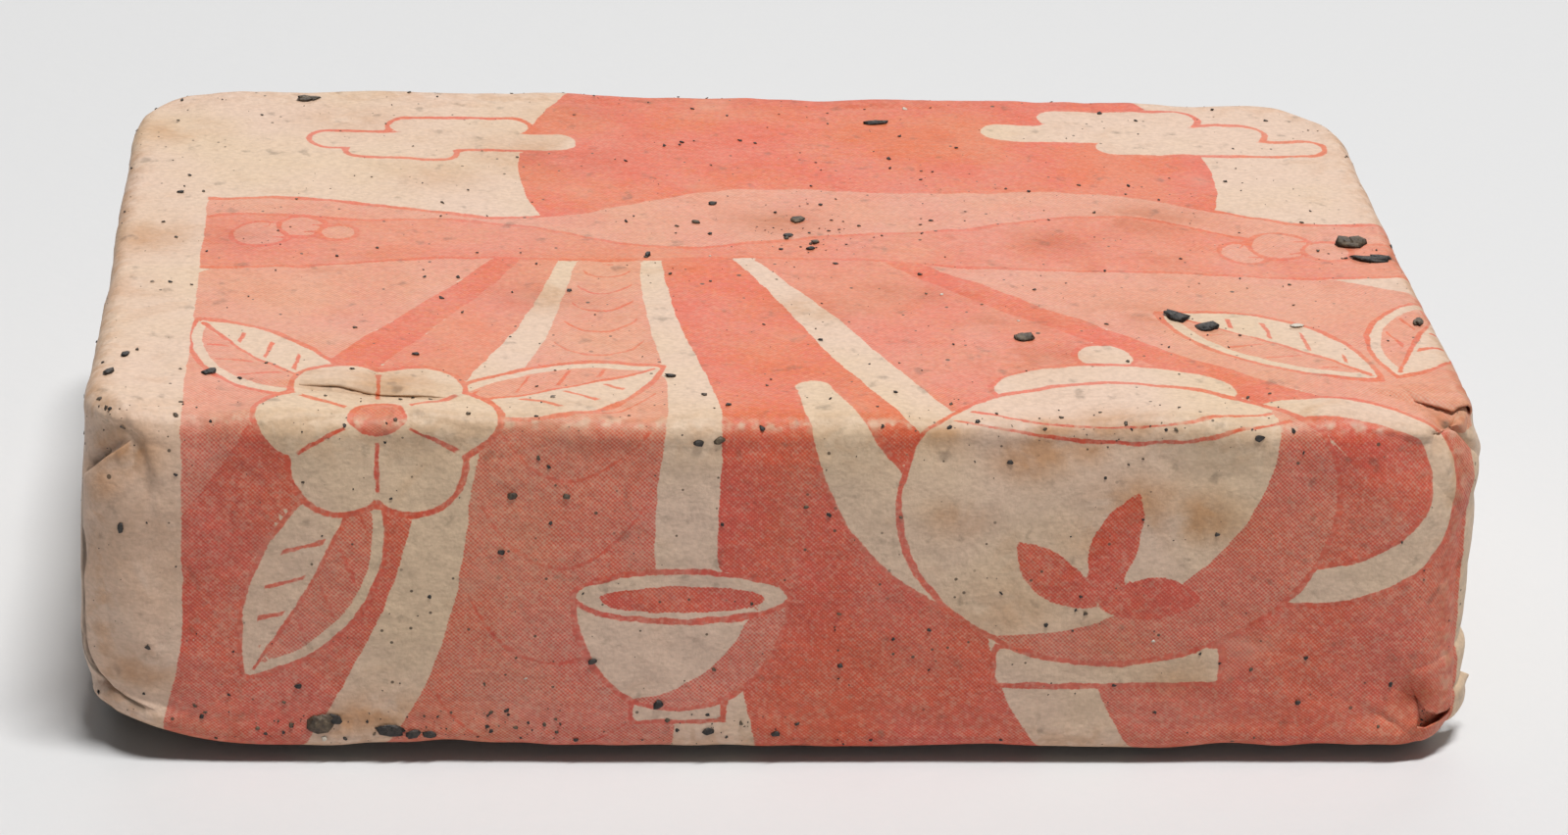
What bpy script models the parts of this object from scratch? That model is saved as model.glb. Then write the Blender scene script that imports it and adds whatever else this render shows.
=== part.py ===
"""A brick of pressed tea, wrapped in printed paper that is folded shut at both ends.

Metres, +Z up. The origin is the middle of the underside, X runs along the
length, and the face that shows is the one towards -Y.
"""

import math
import random

import bmesh
import bpy
from mathutils import Matrix, Vector, noise

NAME = "tea_brick"

# Driving dimensions of the wrapped brick
LENGTH = 0.160
DEPTH = 0.0995
HEIGHT = 0.0443
UPRIGHT_RADIUS = 0.008
TOP_RADIUS = 0.0036
BOTTOM_RADIUS = 0.0048

# How finely the paper is cut before it is shaped, and how far rows crowd to the rims
COLUMNS = 38
ROWS = 24
TIERS = 12
CROWDING = 0.62

# The paper follows the pressed leaves: two sizes of soft hill, and fuller sides
HILLS = ((0.028, 0.0004), (0.011, 0.00022))
FRONT_FULLNESS = 0.0005
END_FULLNESS = 0.0008
FULL_FROM = 0.005
FULL_TO = 0.041

# Dents and pinches of the paper: place, how far each reaches, and how deep it goes
DENTS = (
    ((0.0765, -0.0455, 0.0425), 0.0060, 0.0016),
    ((0.0720, -0.0495, 0.0400), 0.0035, 0.0008),
    ((-0.0790, -0.0480, 0.0400), 0.0045, 0.0010),
    ((-0.0440, -0.0490, 0.0420), 0.0070, 0.0007),
    ((0.0750, -0.0490, 0.0070), 0.0055, 0.0012),
    ((-0.0770, -0.0480, 0.0060), 0.0060, 0.0014),
    ((0.0770, 0.0450, 0.0420), 0.0060, 0.0012),
    ((-0.0775, 0.0455, 0.0415), 0.0055, 0.0010),
)
RIDGES = (
    ((0.0775, -0.0440, 0.0365), 0.0030, 0.0009),
    ((0.0790, -0.0470, 0.0115), 0.0048, 0.0021),
    ((-0.0785, -0.0460, 0.0160), 0.0060, 0.0006),
    ((-0.0775, -0.0480, 0.0340), 0.0035, 0.0007),
)

# End folds: the upper flap comes down first and the lower one closes over it. Each
# grows out of its own rim, narrows at 45 degrees and ends in a slightly lifted tip.
FLAP_FOOT = 0.092
UPPER_FLAP_REACH = 0.031
LOWER_FLAP_REACH = 0.030
FLAP_MARGIN = 0.0025
UPPER_FLAP_STAND = 0.0005
LOWER_FLAP_STAND = 0.0011
FLAP_ROOT = -0.0007
FLAP_RAMP = 0.2
FLAP_TIP_LIFT = 0.0003
FLAP_DEPTH = 0.0025
FLAP_ROWS = 14
FLAP_TIERS = 7

# Flakes of tea that cling to the paper: place, length, width and turn in degrees
TOP_FLAKES = (
    (0.0738, 0.0021, 0.0044, 0.0028, -25),
    (0.0750, -0.0028, 0.0054, 0.0026, -8),
    (0.0486, -0.0204, 0.0046, 0.0027, -40),
    (0.0512, -0.0227, 0.0036, 0.0024, -35),
    (0.0289, -0.0271, 0.0029, 0.0018, 15),
    (0.0176, 0.0402, 0.0039, 0.0016, 5),
    (-0.0575, 0.0442, 0.0032, 0.0015, 0),
    (-0.0663, -0.0381, 0.0021, 0.0013, 20),
    (-0.0762, -0.0332, 0.0018, 0.0011, 60),
    (0.0765, -0.0214, 0.0029, 0.0014, 75),
    (0.0047, 0.0054, 0.0024, 0.0016, 30),
    (0.0625, -0.0228, 0.0020, 0.0013, 10),
)
FRONT_FLAKES = (
    (-0.0534, 0.0046, 0.0040, 0.0025, 12),
    (-0.0454, 0.0042, 0.0042, 0.0017, -8),
    (-0.0412, 0.0036, 0.0026, 0.0015, -14),
    (-0.0084, 0.0385, 0.0015, 0.0011, 0),
    (-0.0107, 0.0388, 0.0013, 0.0011, 40),
    (-0.0143, 0.0081, 0.0015, 0.0012, 70),
    (-0.0083, 0.0045, 0.0016, 0.0011, 10),
    (-0.0221, 0.0140, 0.0014, 0.0010, -30),
)
FLAKE_THICKNESS = 0.0011
FLAKE_STAND = 0.00005
FLAKE_ROUGHNESS = 0.22
BIG_FLAKE = 0.0025
SEED = 7

PAPER = (0.62, 0.33, 0.24, 1.0)
PAPER_ROUGHNESS = 0.85

HALF = Vector((LENGTH / 2, DEPTH / 2, HEIGHT / 2))


def clear_scene():
    """Remove every object that the file holds."""
    for thing in list(bpy.data.objects):
        bpy.data.objects.remove(thing, do_unlink=True)


def new_collection(name):
    """Return a new collection of the scene."""
    made = bpy.data.collections.new(name)
    bpy.context.scene.collection.children.link(made)
    return made


def paper_material():
    """Return the dry, printed paper that the whole brick shows."""
    paper = bpy.data.materials.new("printed_paper")
    paper.use_nodes = True
    shader = paper.node_tree.nodes["Principled BSDF"]
    shader.inputs["Base Color"].default_value = PAPER
    shader.inputs["Roughness"].default_value = PAPER_ROUGHNESS
    shader.inputs["Metallic"].default_value = 0.0
    return paper


def new_object(mesh, name, collection):
    """Turn a bmesh into a named object of a collection."""
    bmesh.ops.recalc_face_normals(mesh, faces=mesh.faces)
    data = bpy.data.meshes.new(name)
    mesh.to_mesh(data)
    mesh.free()
    made = bpy.data.objects.new(name, data)
    collection.objects.link(made)
    return made


def clamp(value, limit):
    """Keep a value between -limit and limit."""
    return max(-limit, min(limit, value))


def rounded_step(inset, drop, radius):
    """Move a point of a square rim, given by inset and drop, onto a rim of this radius."""
    across, down = radius - inset, radius - drop
    if across <= 0.0 or down <= 0.0:
        return inset, drop
    pull = max(across, down) / math.hypot(across, down)
    return radius - across * pull, radius - down * pull


def rounded(point):
    """Carry a point of the sharp box onto the box with rounded corners and rims."""
    core_x = clamp(point.x, HALF.x - UPRIGHT_RADIUS)
    core_y = clamp(point.y, HALF.y - UPRIGHT_RADIUS)
    out = Vector((point.x - core_x, point.y - core_y, 0.0))
    reach = max(abs(out.x), abs(out.y))
    if reach == 0.0:
        return point.copy()
    inset = UPRIGHT_RADIUS - reach
    if point.z > HALF.z:
        inset, drop = rounded_step(inset, HEIGHT - point.z, TOP_RADIUS)
        height = HEIGHT - drop
    else:
        inset, height = rounded_step(inset, point.z, BOTTOM_RADIUS)
    out *= (UPRIGHT_RADIUS - inset) / out.length
    return Vector((core_x + out.x, core_y + out.y, height))


def outward(point):
    """Return the direction in which the paper faces at a point of the rounded box."""
    core = Vector(
        (
            clamp(point.x, HALF.x - UPRIGHT_RADIUS),
            clamp(point.y, HALF.y - UPRIGHT_RADIUS),
            max(BOTTOM_RADIUS, min(HEIGHT - TOP_RADIUS, point.z)),
        )
    )
    away = point - core
    plan = math.hypot(away.x, away.y)
    away.x *= max(0.0, plan - UPRIGHT_RADIUS + TOP_RADIUS) / max(plan, 1e-9)
    away.y *= max(0.0, plan - UPRIGHT_RADIUS + TOP_RADIUS) / max(plan, 1e-9)
    return away.normalized() if away.length > 1e-9 else Vector((0.0, 0.0, 1.0))


def fullness(point):
    """Return how far the sides swell at a point: most at mid height and mid face."""
    up = max(0.0, min(1.0, (point.z - FULL_FROM) / (FULL_TO - FULL_FROM)))
    end = max(0.0, abs(point.x) - (HALF.x - UPRIGHT_RADIUS)) / UPRIGHT_RADIUS
    front = max(0.0, abs(point.y) - (HALF.y - UPRIGHT_RADIUS)) / UPRIGHT_RADIUS
    along = 1.0 - (point.x / HALF.x) ** 2
    middle = math.sin(math.pi * up)
    return middle * (END_FULLNESS * end + FRONT_FULLNESS * front * along)


def unevenness(point):
    """Return how far hills, dents and pinches move the paper at a point."""
    moved = sum(depth * noise.noise(point / size) for size, depth in HILLS)
    for bumps, sign in ((DENTS, -1.0), (RIDGES, 1.0)):
        for place, reach, depth in bumps:
            away = (point - Vector(place)).length / reach
            moved += sign * depth * math.exp(-away * away)
    return moved


def shaped(point):
    """Return where the paper of the finished brick lies for a point of the sharp box."""
    place = rounded(point)
    lift = min(1.0, place.z / BOTTOM_RADIUS)
    return place + outward(place) * lift * (fullness(place) + unevenness(place))


def cut_box(mesh, counts, side):
    """Cut a cube of this side into so many parts along each axis."""
    for axis, parts in enumerate(counts):
        along = [
            edge
            for edge in mesh.edges
            if abs((edge.verts[0].co - edge.verts[1].co)[axis]) > side / 2
        ]
        if parts > 1:
            bmesh.ops.subdivide_edges(mesh, edges=along, cuts=parts - 1, use_grid_fill=True)


def wrap(collection):
    """Return the paper-covered brick: a box cut into a grid, then shaped."""
    mesh = bmesh.new()
    bmesh.ops.create_cube(mesh, size=2.0)
    cut_box(mesh, (COLUMNS, ROWS, TIERS), 2.0)
    for vert in mesh.verts:
        spaced = [c + CROWDING * math.sin(math.pi * c) / math.pi for c in vert.co]
        sharp = Vector([c * half for c, half in zip(spaced, HALF)])
        vert.co = shaped(sharp + Vector((0.0, 0.0, HALF.z)))
    return new_object(mesh, NAME, collection)


def flap(collection, end, upward):
    """Return one folded end flap, a thin plate that follows the end of the brick."""
    reach = LOWER_FLAP_REACH if upward else UPPER_FLAP_REACH
    stand = LOWER_FLAP_STAND if upward else UPPER_FLAP_STAND
    mesh = bmesh.new()
    bmesh.ops.create_cube(mesh, size=1.0)
    cut_box(mesh, (1, FLAP_ROWS, FLAP_TIERS), 1.0)
    for vert in mesh.verts:
        rise = vert.co.z + 0.5
        height = FLAP_MARGIN + rise * (reach - FLAP_MARGIN)
        wide = FLAP_FOOT - 2 * (height - FLAP_MARGIN)
        spot = Vector((end * HALF.x, vert.co.y * wide, height if upward else HEIGHT - height))
        ramp = min(1.0, rise / FLAP_RAMP)
        off = FLAP_ROOT + (stand - FLAP_ROOT) * ramp + FLAP_TIP_LIFT * rise**3
        if vert.co.x * end < 0:
            off = -FLAP_DEPTH
        vert.co = shaped(spot) + outward(rounded(spot)) * off
    side = "right" if end > 0 else "left"
    return new_object(mesh, f"{'lower' if upward else 'upper'}_flap_{side}", collection)


def flake(collection, place, size, frame, rolls, name):
    """Return one chip of tea, a flat uneven pebble half sunk in the paper."""
    length, width, turn = size
    mesh = bmesh.new()
    bmesh.ops.create_icosphere(mesh, subdivisions=2 if length > BIG_FLAKE else 1, radius=0.5)
    for vert in mesh.verts:
        vert.co *= 1.0 + rolls.uniform(-FLAKE_ROUGHNESS, FLAKE_ROUGHNESS)
    bmesh.ops.scale(mesh, verts=mesh.verts, vec=(length, width, FLAKE_THICKNESS))
    spun = frame @ Matrix.Rotation(math.radians(turn), 4, "Z")
    bmesh.ops.transform(mesh, verts=mesh.verts, matrix=Matrix.Translation(place) @ spun)
    return new_object(mesh, name, collection)


def flakes(collection):
    """Lay the flakes on the top face and on the front face."""
    rolls = random.Random(SEED)
    for number, (x, y, length, width, turn) in enumerate(TOP_FLAKES):
        place = shaped(Vector((x, y, HEIGHT))) + Vector((0.0, 0.0, FLAKE_STAND))
        frame = Matrix.Identity(4)
        flake(collection, place, (length, width, turn), frame, rolls, f"top_flake_{number}")
    for number, (x, z, length, width, turn) in enumerate(FRONT_FLAKES):
        place = shaped(Vector((x, -HALF.y, z))) - Vector((0.0, FLAKE_STAND, 0.0))
        frame = Matrix.Rotation(math.radians(90), 4, "X")
        flake(collection, place, (length, width, turn), frame, rolls, f"front_flake_{number}")


def fuse(body, pieces):
    """Join a collection of pieces to the body, then remove the collection's objects."""
    union = body.modifiers.new("fused", "BOOLEAN")
    union.operation = "UNION"
    union.operand_type = "COLLECTION"
    union.collection = pieces
    union.solver = "EXACT"
    evaluated = body.evaluated_get(bpy.context.evaluated_depsgraph_get())
    joined = bpy.data.meshes.new_from_object(evaluated)
    body.modifiers.remove(union)
    old, body.data = body.data, joined
    joined.name = NAME
    bpy.data.meshes.remove(old)
    for piece in list(pieces.objects):
        bpy.data.objects.remove(piece, do_unlink=True)
    bpy.data.collections.remove(pieces)


def stand_on_origin(body):
    """Put the middle of the underside at the origin, and make the flat underside one face."""
    mesh = bmesh.new()
    mesh.from_mesh(body.data)
    low = Vector([min(v.co[axis] for v in mesh.verts) for axis in range(3)])
    high = Vector([max(v.co[axis] for v in mesh.verts) for axis in range(3)])
    middle = (low + high) / 2
    bmesh.ops.translate(mesh, verts=mesh.verts, vec=(-middle.x, -middle.y, -low.z))
    flat = [f for f in mesh.faces if all(abs(v.co.z) < 1e-7 for v in f.verts)]
    bmesh.ops.dissolve_faces(mesh, faces=flat, use_verts=False)
    mesh.to_mesh(body.data)
    mesh.free()


def build():
    """Make the whole part."""
    clear_scene()
    brick = new_collection(NAME)
    pieces = new_collection("fused_pieces")
    body = wrap(brick)
    for end in (-1, 1):
        for upward in (False, True):
            flap(pieces, end, upward)
    flakes(pieces)
    fuse(body, pieces)
    stand_on_origin(body)
    body.data.materials.clear()
    body.data.materials.append(paper_material())
    for face in body.data.polygons:
        face.material_index = 0


build()
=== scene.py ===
"""The looks of a brick of pressed tea: printed paper, folded ends and clinging tea.

Lengths are in millimetres unless a name ends in _m, and become metres when a mesh is
written. The sharp box is the brick before its rims are rounded; sheet coordinates run
over the wrap, s along the length and t from the front top edge to the back, and
negative down the front.
"""

import logging
import math
import random
from dataclasses import dataclass, field
from enum import Enum

import bmesh
import bpy
import numpy as np
from mathutils import Matrix, Vector, noise


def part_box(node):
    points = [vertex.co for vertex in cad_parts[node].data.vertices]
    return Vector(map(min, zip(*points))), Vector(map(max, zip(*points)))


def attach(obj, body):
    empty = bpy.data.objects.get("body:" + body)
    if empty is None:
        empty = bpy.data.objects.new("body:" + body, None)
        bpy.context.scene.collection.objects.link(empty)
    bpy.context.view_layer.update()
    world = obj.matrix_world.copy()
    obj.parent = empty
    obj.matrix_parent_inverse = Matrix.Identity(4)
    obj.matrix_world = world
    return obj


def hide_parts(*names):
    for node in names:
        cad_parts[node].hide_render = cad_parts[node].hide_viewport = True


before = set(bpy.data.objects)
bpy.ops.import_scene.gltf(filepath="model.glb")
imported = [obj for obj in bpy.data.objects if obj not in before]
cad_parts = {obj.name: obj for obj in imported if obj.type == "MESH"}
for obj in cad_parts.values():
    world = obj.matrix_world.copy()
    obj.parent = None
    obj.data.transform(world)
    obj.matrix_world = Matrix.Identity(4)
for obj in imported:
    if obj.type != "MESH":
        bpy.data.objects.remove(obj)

LOG = logging.getLogger("tea_brick")
MM = 0.001
NODE = "tea_brick"
BODY = "root"
WHITE = (1.0, 1.0, 1.0, 1.0)

LINE_LAYERS = ("ridge_line", "row_line", "leaf_line", "twin_line", "vein_line")

Array = np.ndarray
Point = tuple[float, float, float]
Spot = tuple[float, float]


def clamped(values: Array, low: float, high: float) -> Array:
    """Keep an array between two values."""
    return np.minimum(np.maximum(values, low), high)


def smooth(values: Array, start: float, end: float) -> Array:
    """Return 0 before start, 1 past end, and a smooth rise between them."""
    share = clamped((values - start) / (end - start), 0.0, 1.0)
    return share * share * (3.0 - 2.0 * share)


def bell(away: Array, reach: float = 1.0) -> Array:
    """Return 1 where a distance is zero, falling off softly over a reach."""
    return np.exp(-((away / reach) ** 2))


def rough(points: Array, size: float | Point, seed: float = 0.0) -> Array:
    """Return smooth noise at points.

    Args:
        points: Places in millimetres, one a row.
        size: Length of one hill, or its length along each axis.
        seed: Shifts the noise so that two uses differ.

    Returns:
        One value a point, about -0.5 to 0.5.
    """
    scaled = points / np.asarray(size) + seed
    return np.array([noise.noise(Vector(p)) for p in scaled])


def write_layer(mesh: bpy.types.Mesh, name: str, values: Array) -> None:
    """Store one value a vertex on a mesh."""
    made = mesh.attributes.new(name, "FLOAT", "POINT")
    made.data.foreach_set("value", values.astype(np.float32))


@dataclass(frozen=True)
class Crease:
    """A pressed or folded line of the paper.

    The paper dips along the line, and on its left it may stand higher, as where one
    layer lies over another.
    """

    start: Point
    end: Point
    depth: float = 0.25
    width: float = 0.5
    step: float = 0.0
    reach: float = 4.0

    def height(self, points: Array, facing: Array) -> Array:
        """Return how far the paper moves outwards at each point.

        Args:
            points: Places on the rounded brick.
            facing: The direction that the paper faces at each place.

        Returns:
            Heights in millimetres.
        """
        start, end = np.array(self.start), np.array(self.end)
        run = end - start
        share = clamped((points - start) @ run / (run @ run), 0.0, 1.0)
        away = points - (start + share[:, None] * run)
        distance = np.linalg.norm(away, axis=1)
        side = np.einsum("ij,ij->i", np.cross(facing, run / np.linalg.norm(run)), away)
        taper = 1.0 - 0.6 * np.abs(2.0 * share - 1.0) ** 3
        groove = -self.depth * bell(distance, self.width) * taper
        raised = self.step * smooth(side, -0.3, 0.3) * bell(distance, self.reach)
        return groove + raised


@dataclass(frozen=True)
class Swelling:
    """A round dent, or with a negative depth a round bulge, of the paper."""

    place: Point
    reach: float
    depth: float

    def height(self, points: Array) -> Array:
        """Return how far the paper moves outwards at each point."""
        away = np.linalg.norm(points - np.array(self.place), axis=1)
        return -self.depth * bell(away, self.reach)


@dataclass(frozen=True)
class BrickForm:
    """The form of the wrapped brick, the same as that of its solid, with finer relief."""

    length: float = 160.0
    depth: float = 99.5
    height: float = 44.3
    upright_radius: float = 8.0
    top_radius: float = 2.4
    bottom_radius: float = 4.8
    bottom_bend: float = 2.4
    edge_lift: float = 1.7
    lift_inset: Spot = (1.0, 14.0)
    lift_height: float = 10.0
    lift_waves: tuple[Spot, ...] = ((26.0, 0.50), (7.0, 0.25))
    corner_place: Spot = (-82.0, -50.0)
    corner_reach: Spot = (13.5, 11.0)
    corner_lift: float = 4.4
    corner_height: float = 16.0
    taller: float = 0.0235
    shorter: float = 0.0128
    hills: tuple[Spot, ...] = ((28.0, 0.40), (11.0, 0.22))
    fine_hills: tuple[Spot, ...] = ((5.0, 0.16), (2.4, 0.07))
    front_fullness: float = 0.5
    end_fullness: float = 0.8
    full_from: float = 5.0
    full_to: float = 41.0
    rim_waves: tuple[tuple[Point, float], ...] = (((24.0, 5.0, 4.2), 0.24), ((12.0, 9.0, 9.0), 1.3))
    rim_reach: float = 6.0
    back_rim_share: float = 0.25
    seam_y: float = 8.0
    seam_step: float = 0.3
    seam_half_width: float = 0.3
    seam_fade: Spot = (10.0, 30.0)
    swellings: tuple[Swelling, ...] = (
        Swelling((76.5, -45.5, 42.5), 6.0, 1.6),
        Swelling((72.0, -49.5, 40.0), 3.5, 0.8),
        Swelling((-79.0, -48.0, 40.0), 4.5, 1.0),
        Swelling((-44.0, -49.0, 42.0), 7.0, 0.7),
        Swelling((75.0, -49.0, 7.0), 5.5, 1.2),
        Swelling((-77.0, -48.0, 6.0), 6.0, 1.4),
        Swelling((77.0, 45.0, 42.0), 6.0, 1.2),
        Swelling((-77.5, 45.5, 41.5), 5.5, 1.0),
        Swelling((77.5, -44.0, 36.5), 3.0, -0.9),
        Swelling((79.0, -47.0, 11.5), 4.8, -1.0),
        Swelling((80.0, -44.0, 27.0), 14.0, 0.40),
        Swelling((79.0, -46.0, 3.5), 5.0, -1.1),
        Swelling((-80.0, -40.5, 10.5), 6.5, -0.9),
        Swelling((-77.5, -48.0, 34.0), 3.5, -0.7),
        Swelling((75.6, -47.8, 42.6), 1.8, 1.3),
        Swelling((78.4, -49.0, 4.6), 2.0, 1.5),
        Swelling((77.2, -48.6, 42.2), 1.6, 1.0),
        Swelling((-82.0, -46.0, 40.0), 2.6, 0.7),
        Swelling((77.3, -45.8, 44.2), 1.7, 1.4),
        Swelling((-40.0, 50.0, 20.0), 8.0, 0.7),
        Swelling((52.0, 50.0, 30.0), 10.0, 0.6),
        Swelling((80.0, 24.0, 24.0), 9.0, 0.5),
        Swelling((-80.0, -16.0, 20.0), 9.0, 0.5),
    )
    creases: tuple[Crease, ...] = (
        Crease((-56.0, -41.3, 44.3), (-39.5, -44.2, 44.3), 0.35, 0.6, 0.30, 5.0),
        Crease((-54.3, -48.5, 43.5), (-46.0, -47.4, 43.9), 0.25, 0.8, 0.20, 5.0),
        Crease((-46.0, -47.4, 43.9), (-36.0, -49.0, 43.0), 0.20, 0.8, 0.20, 5.0),
        Crease((-79.6, -46.0, 41.6), (-77.4, -48.3, 43.2), 0.30, 0.6, 0.30, 4.0),
        Crease((-77.4, -48.3, 43.2), (-74.2, -49.5, 42.2), 0.35, 0.5, 0.35, 4.0),
        Crease((-74.2, -49.5, 42.2), (-72.8, -49.8, 39.2), 0.35, 0.5, 0.35, 4.0),
        Crease((-72.8, -49.8, 39.2), (-72.3, -49.8, 34.6), 0.30, 0.6, 0.30, 4.0),
        Crease((-77.6, -49.0, 43.0), (-77.0, -49.4, 40.5), 0.25, 0.5, 0.25, 3.0),
        Crease((-75.2, -47.5, 44.1), (-69.8, -45.7, 44.2), 0.35, 0.5, 0.25, 3.0),
        Crease((-79.6, -44.2, 27.0), (-79.5, -44.5, 14.0), 1.00, 0.55, 0.0, 3.0),
        Crease((-79.5, -44.5, 14.0), (-79.2, -45.3, 8.6), 1.40, 0.6, 0.0, 3.0),
        Crease((-79.2, -45.3, 8.6), (-78.4, -46.6, 5.0), 1.50, 0.6, 0.0, 3.0),
        Crease((-78.4, -46.6, 5.0), (-76.4, -48.4, 3.2), 1.30, 0.6, 0.0, 3.0),
        Crease((-76.4, -48.4, 3.2), (-73.0, -49.5, 2.4), 0.80, 0.6, 0.0, 3.0),
        Crease((-79.4, -44.7, 36.1), (-77.9, -47.2, 38.7), 1.30, 0.6, 0.0, 3.0),
        Crease((-77.9, -47.2, 38.7), (-75.4, -48.9, 41.0), 0.60, 0.5, 0.0, 3.0),
        Crease((72.0, -41.5, 44.2), (76.0, -42.8, 44.0), 0.45, 0.5, 0.35, 4.0),
        Crease((75.6, -47.0, 43.8), (77.4, -49.0, 41.8), 0.55, 0.5, -0.30, 4.0),
        Crease((77.4, -49.0, 41.8), (79.4, -47.6, 37.4), 0.45, 0.5, 0.35, 4.0),
        Crease((68.5, -49.2, 42.9), (74.0, -49.4, 41.6), 0.20, 0.6, 0.20, 3.0),
        Crease((76.2, -49.6, 7.6), (76.4, -49.6, 4.2), 0.55, 0.5, 0.40, 4.0),
        Crease((76.4, -49.6, 4.2), (73.8, -49.4, 0.8), 0.45, 0.6, 0.35, 4.0),
        Crease((70.5, -49.6, 6.5), (74.5, -49.6, 3.0), 0.22, 0.6, 0.20, 3.0),
        Crease((77.2, -46.8, 43.4), (79.5, -45.0, 40.2), 1.60, 0.55, 0.0, 3.0),
        Crease((79.5, -45.0, 40.2), (80.3, -42.2, 37.2), 1.60, 0.55, 0.0, 3.0),
        Crease((-43.0, 43.2, 44.3), (-29.0, 44.4, 44.3), 0.16, 0.8, 0.12, 3.0),
        Crease((-36.0, 45.4, 44.3), (-21.0, 44.8, 44.3), 0.14, 0.8, -0.10, 3.0),
        Crease((8.0, 44.6, 44.3), (24.0, 45.6, 44.3), 0.14, 0.8, 0.10, 3.0),
        Crease((-30.0, -49.6, 40.6), (12.0, -49.8, 41.2), 0.10, 1.2, 0.06, 4.0),
        Crease((18.0, -49.6, 41.0), (60.0, -49.8, 41.6), 0.08, 1.4, -0.05, 4.0),
        Crease((-52.0, 49.7, 31.0), (-20.0, 49.8, 27.0), 0.20, 0.7, 0.14, 4.0),
        Crease((-20.0, 49.8, 27.0), (6.0, 49.8, 29.5), 0.16, 0.8, 0.10, 4.0),
        Crease((24.0, 49.8, 13.0), (60.0, 49.7, 19.0), 0.20, 0.7, -0.14, 4.0),
        Crease((62.0, 49.7, 38.0), (77.5, 48.2, 27.0), 0.35, 0.6, 0.28, 4.0),
        Crease((-76.5, 48.6, 36.0), (-69.0, 49.6, 20.0), 0.30, 0.6, 0.24, 4.0),
        Crease((-60.0, 49.7, 9.0), (-72.0, 49.5, 3.5), 0.30, 0.6, 0.24, 4.0),
        Crease((80.0, 36.0, 40.0), (80.0, 44.5, 24.0), 0.30, 0.6, 0.24, 4.0),
        Crease((-80.0, 26.0, 12.0), (-80.0, 41.0, 7.0), 0.25, 0.7, 0.20, 4.0),
        Crease((-80.0, -26.0, 35.0), (-80.0, 8.0, 33.0), 0.18, 0.8, 0.12, 4.0),
    )

    @property
    def half(self) -> Array:
        """Half of each side of the sharp box."""
        return np.array([self.length / 2, self.depth / 2, self.height / 2])

    def core(self, points: Array) -> Array:
        """Return the nearest points of the upright core that the corners turn round."""
        half, radius = self.half, self.upright_radius
        return np.stack(
            [
                clamped(points[:, 0], radius - half[0], half[0] - radius),
                clamped(points[:, 1], radius - half[1], half[1] - radius),
            ],
            axis=1,
        )

    @staticmethod
    def rim(inset: Array, drop: Array, radius: float) -> tuple[Array, Array]:
        """Move points of a square rim onto a rim of this radius.

        Args:
            inset: Distance of each point inside the upright face.
            drop: Distance of each point from the flat face.
            radius: Radius of the rim.

        Returns:
            The new inset and the new drop.
        """
        across, down = radius - inset, radius - drop
        inside = (across > 0.0) & (down > 0.0)
        pull = np.maximum(across, down) / np.maximum(np.hypot(across, down), 1e-9)
        return (
            np.where(inside, radius - across * pull, inset),
            np.where(inside, radius - down * pull, drop),
        )

    def rounded(self, sharp: Array) -> Array:
        """Carry points of the sharp box onto the box with rounded corners and rims.

        Args:
            sharp: Points on the sharp box.

        Returns:
            Points on the rounded box.
        """
        core = self.core(sharp)
        out = sharp[:, :2] - core
        reach = np.abs(out).max(axis=1)
        inset = self.upright_radius - reach
        upper = sharp[:, 2] > self.height / 2
        high_inset, high_drop = self.rim(inset, self.height - sharp[:, 2], self.top_radius)
        low_inset, low_drop = self.rim(inset, sharp[:, 2], self.bottom_bend)
        new_inset = np.where(upper, high_inset, low_inset)
        level = np.where(upper, self.height - high_drop, low_drop)
        length = np.maximum(np.linalg.norm(out, axis=1), 1e-9)
        out = out * ((self.upright_radius - new_inset) / length)[:, None]
        flat = reach < 1e-9
        out[flat] = 0.0
        level[flat] = sharp[flat, 2]
        return np.column_stack([core + out, level])

    def outward(self, points: Array) -> Array:
        """Return the direction in which the paper faces at points of the rounded box.

        Args:
            points: Points on the rounded box.

        Returns:
            One direction a point, of length 1.
        """
        level = clamped(points[:, 2], self.bottom_radius, self.height - self.top_radius)
        away = points - np.column_stack([self.core(points), level])
        plan = np.hypot(away[:, 0], away[:, 1])
        share = np.maximum(0.0, plan - self.upright_radius + self.top_radius)
        away[:, :2] *= (share / np.maximum(plan, 1e-9))[:, None]
        length = np.linalg.norm(away, axis=1)
        away[length < 1e-9] = (0.0, 0.0, 1.0)
        return away / np.maximum(length, 1e-9)[:, None]

    def fullness(self, points: Array) -> Array:
        """Return how far the sides swell, most at mid height and mid face.

        Args:
            points: Points on the rounded box.

        Returns:
            Heights in millimetres.
        """
        half, radius = self.half, self.upright_radius
        up = clamped((points[:, 2] - self.full_from) / (self.full_to - self.full_from), 0, 1)
        end = np.maximum(0.0, np.abs(points[:, 0]) - (half[0] - radius)) / radius
        front = np.maximum(0.0, np.abs(points[:, 1]) - (half[1] - radius)) / radius
        along = 1.0 - (points[:, 0] / half[0]) ** 2
        return np.sin(np.pi * up) * (
            self.end_fullness * end + self.front_fullness * front * along
        )

    def shaped(self, sharp: Array) -> Array:
        """Return where the paper lies for points of the sharp box.

        Args:
            sharp: Points on the sharp box.

        Returns:
            Points on the finished paper.
        """
        place = self.rounded(sharp)
        facing = self.outward(place)
        moved = self.fullness(place)
        for size, depth in self.hills:
            moved += depth * rough(place, size)
        for swelling in self.swellings:
            moved += swelling.height(place)
        moved += self.fine_relief(place, facing)
        lift = np.minimum(1.0, place[:, 2] / self.bottom_radius)
        raised = self.raised_edge(place) + self.seam(place)
        place = place + facing * (lift * moved)[:, None]
        place[:, 2] += raised
        return self.pressed(place)

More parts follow.
